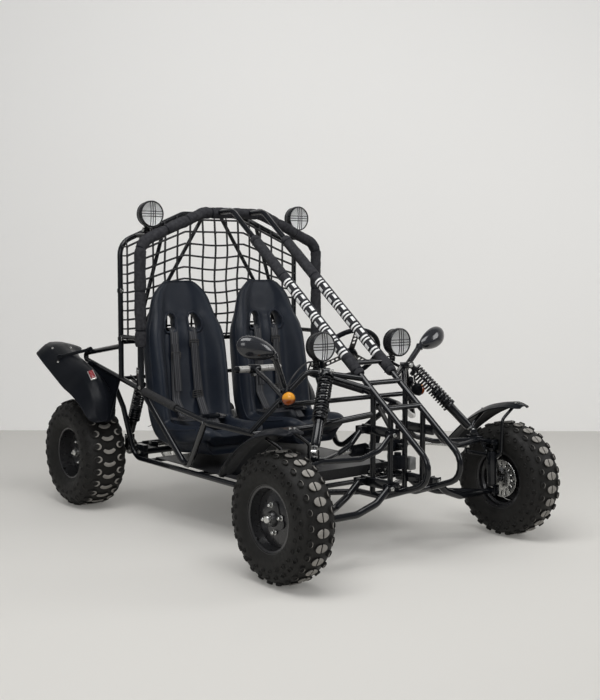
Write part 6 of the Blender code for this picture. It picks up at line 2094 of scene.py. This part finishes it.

# %% [markdown]
# ## Engine and muffler
# The small engine stands on two shelves of the swing arm, behind the seats. Its block is a bevelled
# casting with ribs, a finned cylinder leans forward on top, and a round cover closes the starter
# side. The exhaust pipe curves into a muffler held by two bands.

# %% Engine
def engine():
    block = slab_between(at(-0.085, 1.505, 0.3185), at(0.15, 1.65, 0.47), 0.012)
    pieces = [block]
    for index in range(5):
        x = -0.07 + 0.048 * index
        pieces.append(slab_between(at(x, 1.5055, 0.33), at(x + 0.006, 1.652, 0.462), 0.0015))
    for z in (0.345, 0.372, 0.399, 0.426, 0.453):
        pieces.append(slab_between(at(-0.0855, 1.52, z), at(-0.082, 1.636, z + 0.006), 0.001))
    case = spun([(0, 0), (0, 0.062), (0.006, 0.065), (0.03, 0.067), (0.052, 0.07), (0.058, 0.068),
        (0.07, 0.055), (0.0715, 0.048), (0.067, 0.044), (0.067, 0)], at(0.148, 1.565, 0.395), (1, 0,
        0), 48, False)
    pieces.append(case)
    for index in range(10):
        turn = FULL_TURN * index / 10
        middle = at(0.2165, 1.565 + 0.03 * math.cos(turn), 0.395 + 0.03 * math.sin(turn))
        pieces.append(slab(middle, (0.004, 0.018, 0.0035), Matrix.Rotation(turn, 3, "X"), 0.0006))
    shaft = spun([(0, 0), (0, 0.0098), (-0.03, 0.0098), (-0.03, 0)], at(-0.08, *CHAIN_FRONT), (1, 0, 0), 24,
        False)
    pieces.append(shaft)
    lean = Matrix.Rotation(-0.25, 3, "X")
    middle = at(0.02, 1.545, 0.505)
    pieces.append(slab(middle, (0.092, 0.112, 0.124), lean, 0.01))
    for index in range(9):
        shift = -0.046 + 0.0122 * index
        pieces.append(slab(middle + lean @ Vector((0, 0, shift)), (0.124, 0.149, 0.0034), lean, 0.001))
    pieces.append(slab(middle + lean @ Vector((0, 0, 0.056)), (0.084, 0.1, 0.012), lean, 0.004))
    fit(join("engine_case", pieces), cast, "rear_swing", "engine")
    small = spun([(-0.0195, 0), (-0.0195, 0.027), (-0.0185, 0.0285), (-0.0145, 0.0285), (-0.0135, 0.027),
        (-0.0135, 0)], at(-0.08, *CHAIN_FRONT), (1, 0, 0), 26, False)
    fit(small, zinc, "rear_swing")
    small.name = "front_sprocket"
    bolts = [bolt(middle + lean @ Vector((x, y, 0.062)), lean @ Vector((0, 0, 1)), 0.012) for x in (-0.03,
        0.03) for y in (-0.038, 0.038)]
    for x, y in ((-0.06, 1.52), (-0.06, 1.632), (0.15, 1.6)):
        bolts.append(bolt(at(x, y, 0.3185), (0, 0, 1), 0.012))
    for index in range(4):
        turn = FULL_TURN * (index + 0.5) / 4
        bolts.append(bolt(at(0.217, 1.565 + 0.052 * math.cos(turn), 0.395 + 0.052 * math.sin(turn)),
            (1, 0, 0), 0.009))
    fit(join("engine_bolts", bolts), zinc, "rear_swing")
    lead = [middle + lean @ Vector((0, -0.05, 0.066)), middle + lean @ Vector((-0.005, -0.068, 0.08)),
        at(-0.04, 1.47, 0.54), at(-0.076, 1.5, 0.44)]
    cap = rod(middle + lean @ Vector((0, -0.045, 0.05)), middle + lean @ Vector((0, -0.056, 0.08)), 0.0095)
    fit(join("plug_lead", [tubes(0.0035, lead, bend=0.03, sides=2), cap]), cord_black, "rear_swing")


engine()
print("engine ready")

# %% Muffler, carburettor and air box
def muffler():
    start, end = at(0.207, 1.665, 0.442), at(0.268, 1.985, 0.47)
    way = (end - start).normalized()
    length = (end - start).length
    profile = [(0, 0), (0, 0.03), (0.004, 0.04), (0.014, 0.048), (0.02, 0.05), (0.06, 0.05),
        (0.062, 0.0485), (0.068, 0.0485), (0.07, 0.05), (length - 0.07, 0.05), (length - 0.068, 0.0485),
        (length - 0.062, 0.0485), (length - 0.06, 0.05), (length - 0.02, 0.05), (length - 0.01, 0.046),
        (length - 0.003, 0.034), (length - 0.003, 0.013), (length, 0.012), (length, 0.0085),
        (length - 0.03, 0.0085), (length - 0.03, 0)]
    can = spun(profile, start, way, 48, False)
    pipe = tubes(0.012, [at(0.211, 1.69, 0.447), at(0.18, 1.62, 0.49), at(0.085, 1.552, 0.52)], bend=0.06)
    lug = rod(at(0.196, 1.685, 0.425), at(0.196, 1.685, 0.319), 0.01)
    fit(join("muffler_can", [can, pipe, lug]), dark_metal, "rear_swing", "muffler")
    flange = slab(at(0.0865, 1.553, 0.519), (0.006, 0.048, 0.03), Matrix.Rotation(-0.25, 3, "X"), 0.003)
    bands = [spun([(shift, 0.05), (shift, 0.0516), (shift + 0.012, 0.0516), (shift + 0.012, 0.05)], start,
        way, 40) for shift in (0.085, length - 0.1)]
    fit(join("muffler_bands", [flange, *bands]), zinc, "rear_swing")


def intake():
    neck = tubes(0.0165, [at(-0.038, 1.552, 0.5), at(-0.092, 1.57, 0.505)], bend=0.02)
    bowl = slab(at(-0.108, 1.574, 0.494), (0.038, 0.046, 0.056), None, 0.006)
    fit(join("carburettor", [neck, bowl]), cast, "rear_swing")
    box = slab(at(-0.17, 1.6, 0.52), (0.082, 0.15, 0.104), None, 0.016)
    hose = tubes(0.018, [at(-0.124, 1.576, 0.505), at(-0.148, 1.585, 0.515)], bend=0.01)
    lid = slab(at(-0.17, 1.6, 0.5745), (0.086, 0.154, 0.01), None, 0.004)
    leg = tubes(0.0055, [at(-0.17, 1.6, 0.48), at(-0.15, 1.64, 0.4), at(-0.076, 1.63, 0.34)], bend=0.03)
    fit(join("air_box", [box, hose, lid, leg]), moulded, "rear_swing")


muffler()
intake()
print("muffler and intake ready")

# %% [markdown]
# ## Clamps, sleeves and bolts
# Many small fittings tell the eye that the frame is bolted together. A pipe clamp is a ring with
# two ears and a bolt. A dull rubber sleeve guards each side bar where a foot rests on entry, and
# bolts sit on the brackets of the main hoop and the nose.

# %% Pipe clamps
def pipe_clamp(place, along, out, radius):
    """A two-part ring round a tube, with an ear and a bolt on its outer side."""
    along, out = Vector(along).normalized(), Vector(out).normalized()
    ring = spun([(-0.0095, radius), (-0.0095, radius + 0.003), (0.0095, radius + 0.003), (0.0095, radius)],
        place, along, 32)
    across = along.cross(out)
    turn = Matrix((out, across, along)).transposed()
    ear = slab(Vector(place) + out * (radius + 0.0085), (0.016, 0.0125, 0.017), turn, 0.0015)
    gap = slab(Vector(place) + out * (radius + 0.012), (0.01, 0.0022, 0.019), turn, 0.0003)
    screw = bolt(Vector(place) + out * (radius + 0.0095) + across * 0.0062, across, 0.0095)
    return [ring, ear], [gap, screw]


clamp_parts, screw_parts = [], []
for name, s in SIDES:
    for z in (1.132, 0.889):
        rings, screws = pipe_clamp(at(s * HOOP_HALF, REAR_HOOP_Y, z), (0, 0, 1), (s * 0.4, -1, 0), TUBE)
        clamp_parts += rings
        screw_parts += screws
fit(join("pipe_clamps", clamp_parts), frame_paint, "chassis")
fit(join("clamp_screws", screw_parts), zinc, "chassis")

# %% Step sleeves
for name, s in SIDES:
    start, end = at(s * 0.5571, 1.262, 0.6434), at(s * 0.5793, 0.93, 0.5984)
    length = (end - start).length
    profile = [(0, 0.0136), (0, 0.0175), (0.002, 0.019)]
    for rib in range(14):
        along = 0.01 + (length - 0.02) * rib / 13
        profile += [(along - 0.002, 0.019), (along - 0.001, 0.018), (along + 0.001, 0.018),
            (along + 0.002, 0.019)]
    profile += [(length - 0.002, 0.019), (length, 0.0175), (length, 0.0136)]
    sleeve = spun(profile, start, end - start, 28)
    fit(sleeve, cord_black, "chassis")
    sleeve.name = f"step_sleeve_{name}"

# %% Brackets and bolts
plates, heads = [], []
for name, s in SIDES:
    s = s
    plates.append(slab(at(s * 0.566, 1.3, 0.7), (0.005, 0.046, 0.115), None, 0.002))
    for y, z in ((1.292, 0.66), (1.306, 0.738)):
        heads.append(bolt(at(s * 0.5688, y, z), (s, 0, 0), 0.015))
    heads.append(bolt(at(s * 0.456, 1.5, 0.3), (s, 0, 0), 0.019))
    plates.append(slab(at(s * 0.536, 1.655, 0.7), (0.03, 0.028, 0.005), tilt(10), 0.001))
    for y, z in ((-0.064, ARM_PIVOT_Z), (-0.064, ARM_PIVOT_Z + UPPER_RISE), (0.154, ARM_PIVOT_Z),
            (0.154, ARM_PIVOT_Z + UPPER_RISE)):
        x = ARM_PIVOT_HALF - (KINGPIN_LEAN if z > 0.5 else 0)
        way = -1 if y < 0 else 1
        heads.append(bolt(at(s * x, y + way * 0.0085, z), (0, way, 0), 0.015))
fit(join("hoop_plates", plates), frame_paint, "chassis")
fit(join("frame_bolts", heads), zinc, "chassis")
print("clamps, sleeves and bolts ready")

# %% [markdown]
# ## Lamp wires
# A thin wire leaves each shock tower and loops over to a small connector on the turn lamp. It is
# one smooth curve through given points, with a little slack so that it hangs as a real one does.

# %% Lamp wires
cable_black = finish("cable_black", "plastic_black", (0.012, 0.012, 0.013), 0.38)
set_input(cable_black, "Specular IOR Level", 0.35)
blotchy(cable_black, "Roughness", 50, 3, (0.3, 0.3), (0.8, 0.5))
bumps(cable_black, (noise(cable_black, 700, 1), 0.00008))
WIRES = {"left": ((0.298, 0.296, 0.812), (0.294, 0.28, 0.822), (0.294, 0.268, 0.806), (0.3, 0.264, 0.775),
    (0.31, 0.266, 0.742), (0.317, 0.268, 0.716)), "right": ((-0.298, 0.296, 0.812), (-0.306, 0.272, 0.845),
    (-0.35, 0.26, 0.838), (-0.412, 0.252, 0.795), (-0.447, 0.25, 0.748), (-0.459, 0.243, 0.722))}
for name, s in SIDES:
    rows = [tuple(at(x, y, z)) for x, y, z in WIRES[name]]
    line = [Vector(on_curve(rows, 5 * step / 30)) for step in range(31)]
    wire_piece = tubes(0.004, line, bend=0.0001, sides=3)
    wire_piece.name = f"turn_wire_{name}"
    fit(wire_piece, cable_black, "chassis")
    plug = rod(line[-1], line[-1] + (line[-1] - line[-2]).normalized() * 0.014, 0.0062)
    plug.name = f"turn_connector_{name}"
    fit(plug, moulded, "chassis")
    length = sum((end - start).length for start, end in zip(line, line[1:]))
    print(wire_piece.name, round(length, 3), "m")
# %% [markdown]
# ## Finishes for the CAD pieces that stay
# A CAD node whose shape is already right keeps its mesh and only gets one of the finishes.

# %% Give the remaining CAD nodes their finishes
KEPT = {"frame_black": frame_paint, "foam_grey": foam, "net_cord": cord_black, "seat_vinyl": vinyl,
    "rim_black": rim_paint, "plastic_black": moulded, "bright_steel": zinc, "cast_alloy": cast,
    "dark_steel": dark_metal, "floor_steel": floor_plate, "lamp_black": lamp_shell, "silver_tube": silver,
    "tyre_rubber": front_rubber}
slot_of_node = {row["node"]: row["material_slot"] for row in frame["record"]["subparts"]}
for node_name, node in frame["nodes"].items():
    if not node.hide_render:
        node.data.materials.clear()
        node.data.materials.append(KEPT[slot_of_node[node_name]])

# %% [markdown]
# ## Studio
# The photograph was taken from the front right corner at chest height. The camera was fitted to the
# wheels and the cage. A pale floor and a pale wall give the black tubes something
# bright to mirror, and one large soft lamp overhead gives the shadow under the buggy.

# %% Floor, lamps and camera
def stage_finish(name, colour, glow):
    """A pale stage. The camera and mirrors see it a little brighter than the light that it gives back."""
    made = bpy.data.materials.new(name)
    made.use_nodes = True
    shader = made.node_tree.nodes["Principled BSDF"]
    shader.inputs["Base Color"].default_value = (*colour, 1)
    shader.inputs["Roughness"].default_value = 0.75
    shader.inputs["Emission Color"].default_value = (*colour, 1)
    rays = add_node(made, "ShaderNodeLightPath")
    seen = rays.outputs["Is Camera Ray"]
    for kind in ("Is Glossy Ray", "Is Transmission Ray"):
        both = add_node(made, "ShaderNodeMath")
        both.operation = "MAXIMUM"
        wire(made, seen, both.inputs[0])
        wire(made, rays.outputs[kind], both.inputs[1])
        seen = both.outputs["Value"]
    scaled = add_node(made, "ShaderNodeMath")
    scaled.operation = "MULTIPLY"
    scaled.inputs[1].default_value = glow
    wire(made, seen, scaled.inputs[0])
    set_input(made, "Emission Strength", scaled.outputs["Value"])
    return made


bpy.ops.mesh.primitive_plane_add(size=1)
floor = bpy.context.object
floor.name = "floor"
floor.scale = (16, 16, 1)
floor.location = (0, 1.0, 0)
floor.data.materials.append(stage_finish("floor_pale", (0.6, 0.585, 0.55), 0.18))
bpy.ops.mesh.primitive_plane_add(size=1)
wall = bpy.context.object
wall.name = "wall"
turned_to_camera = Matrix.Rotation(-math.radians(38), 4, "Z") @ Matrix.Rotation(math.radians(90), 4, "X")
wall.matrix_world = Matrix.Translation((1.75, 2.25, 3)) @ turned_to_camera @ Matrix.Diagonal((20, 8, 1, 1))
wall.data.materials.append(stage_finish("wall_pale", (0.8, 0.79, 0.765), 0.22))


def soft_lamp(name, place, target, size, power):
    bpy.ops.object.light_add(type="AREA", location=place)
    lamp = bpy.context.object
    lamp.name = name
    lamp.data.shape = "RECTANGLE"
    lamp.data.size, lamp.data.size_y = size
    lamp.data.energy = power
    lamp.rotation_mode = "QUATERNION"
    lamp.rotation_quaternion = (Vector(target) - Vector(place)).to_track_quat("-Z", "Y")
    return lamp


soft_lamp("top_lamp", (-1.2, -1.2, 4.2), (0, 0.1, 0.4), (3.4, 2.2), 125)
soft_lamp("front_lamp_soft", (-4.2, -3.6, 2.6), (0, 0, 0.5), (2.4, 1.8), 50)
soft_lamp("right_lamp_soft", (3.4, -3.2, 2.6), (0, 0, 0.5), (1.6, 2.2), 50)
world = bpy.data.worlds.new("studio")
bpy.context.scene.world = world
world.use_nodes = True
world.node_tree.nodes["Background"].inputs["Color"].default_value = (0.92, 0.94, 1.0, 1)
world.node_tree.nodes["Background"].inputs["Strength"].default_value = 0.24

CAMERA_YAW, CAMERA_PITCH, CAMERA_ROLL = math.radians(37.956), math.radians(4.567), math.radians(-0.08)
camera_data = bpy.data.cameras.new("camera")
camera = bpy.data.objects.new("camera", camera_data)
bpy.context.scene.collection.objects.link(camera)
camera.location = (-3.2602, -4.3583, 1.2773)
look = Vector((math.sin(CAMERA_YAW) * math.cos(CAMERA_PITCH), math.cos(CAMERA_YAW) * math.cos(CAMERA_PITCH),
    -math.sin(CAMERA_PITCH)))
camera.rotation_mode = "QUATERNION"
camera.rotation_quaternion = look.to_track_quat("-Z", "Y") @ Matrix.Rotation(-CAMERA_ROLL, 3,
    "Z").to_quaternion()
camera_data.lens = 56.66
camera_data.sensor_width = 36
bpy.context.scene.camera = camera
bpy.context.scene.view_settings.view_transform = "Standard"
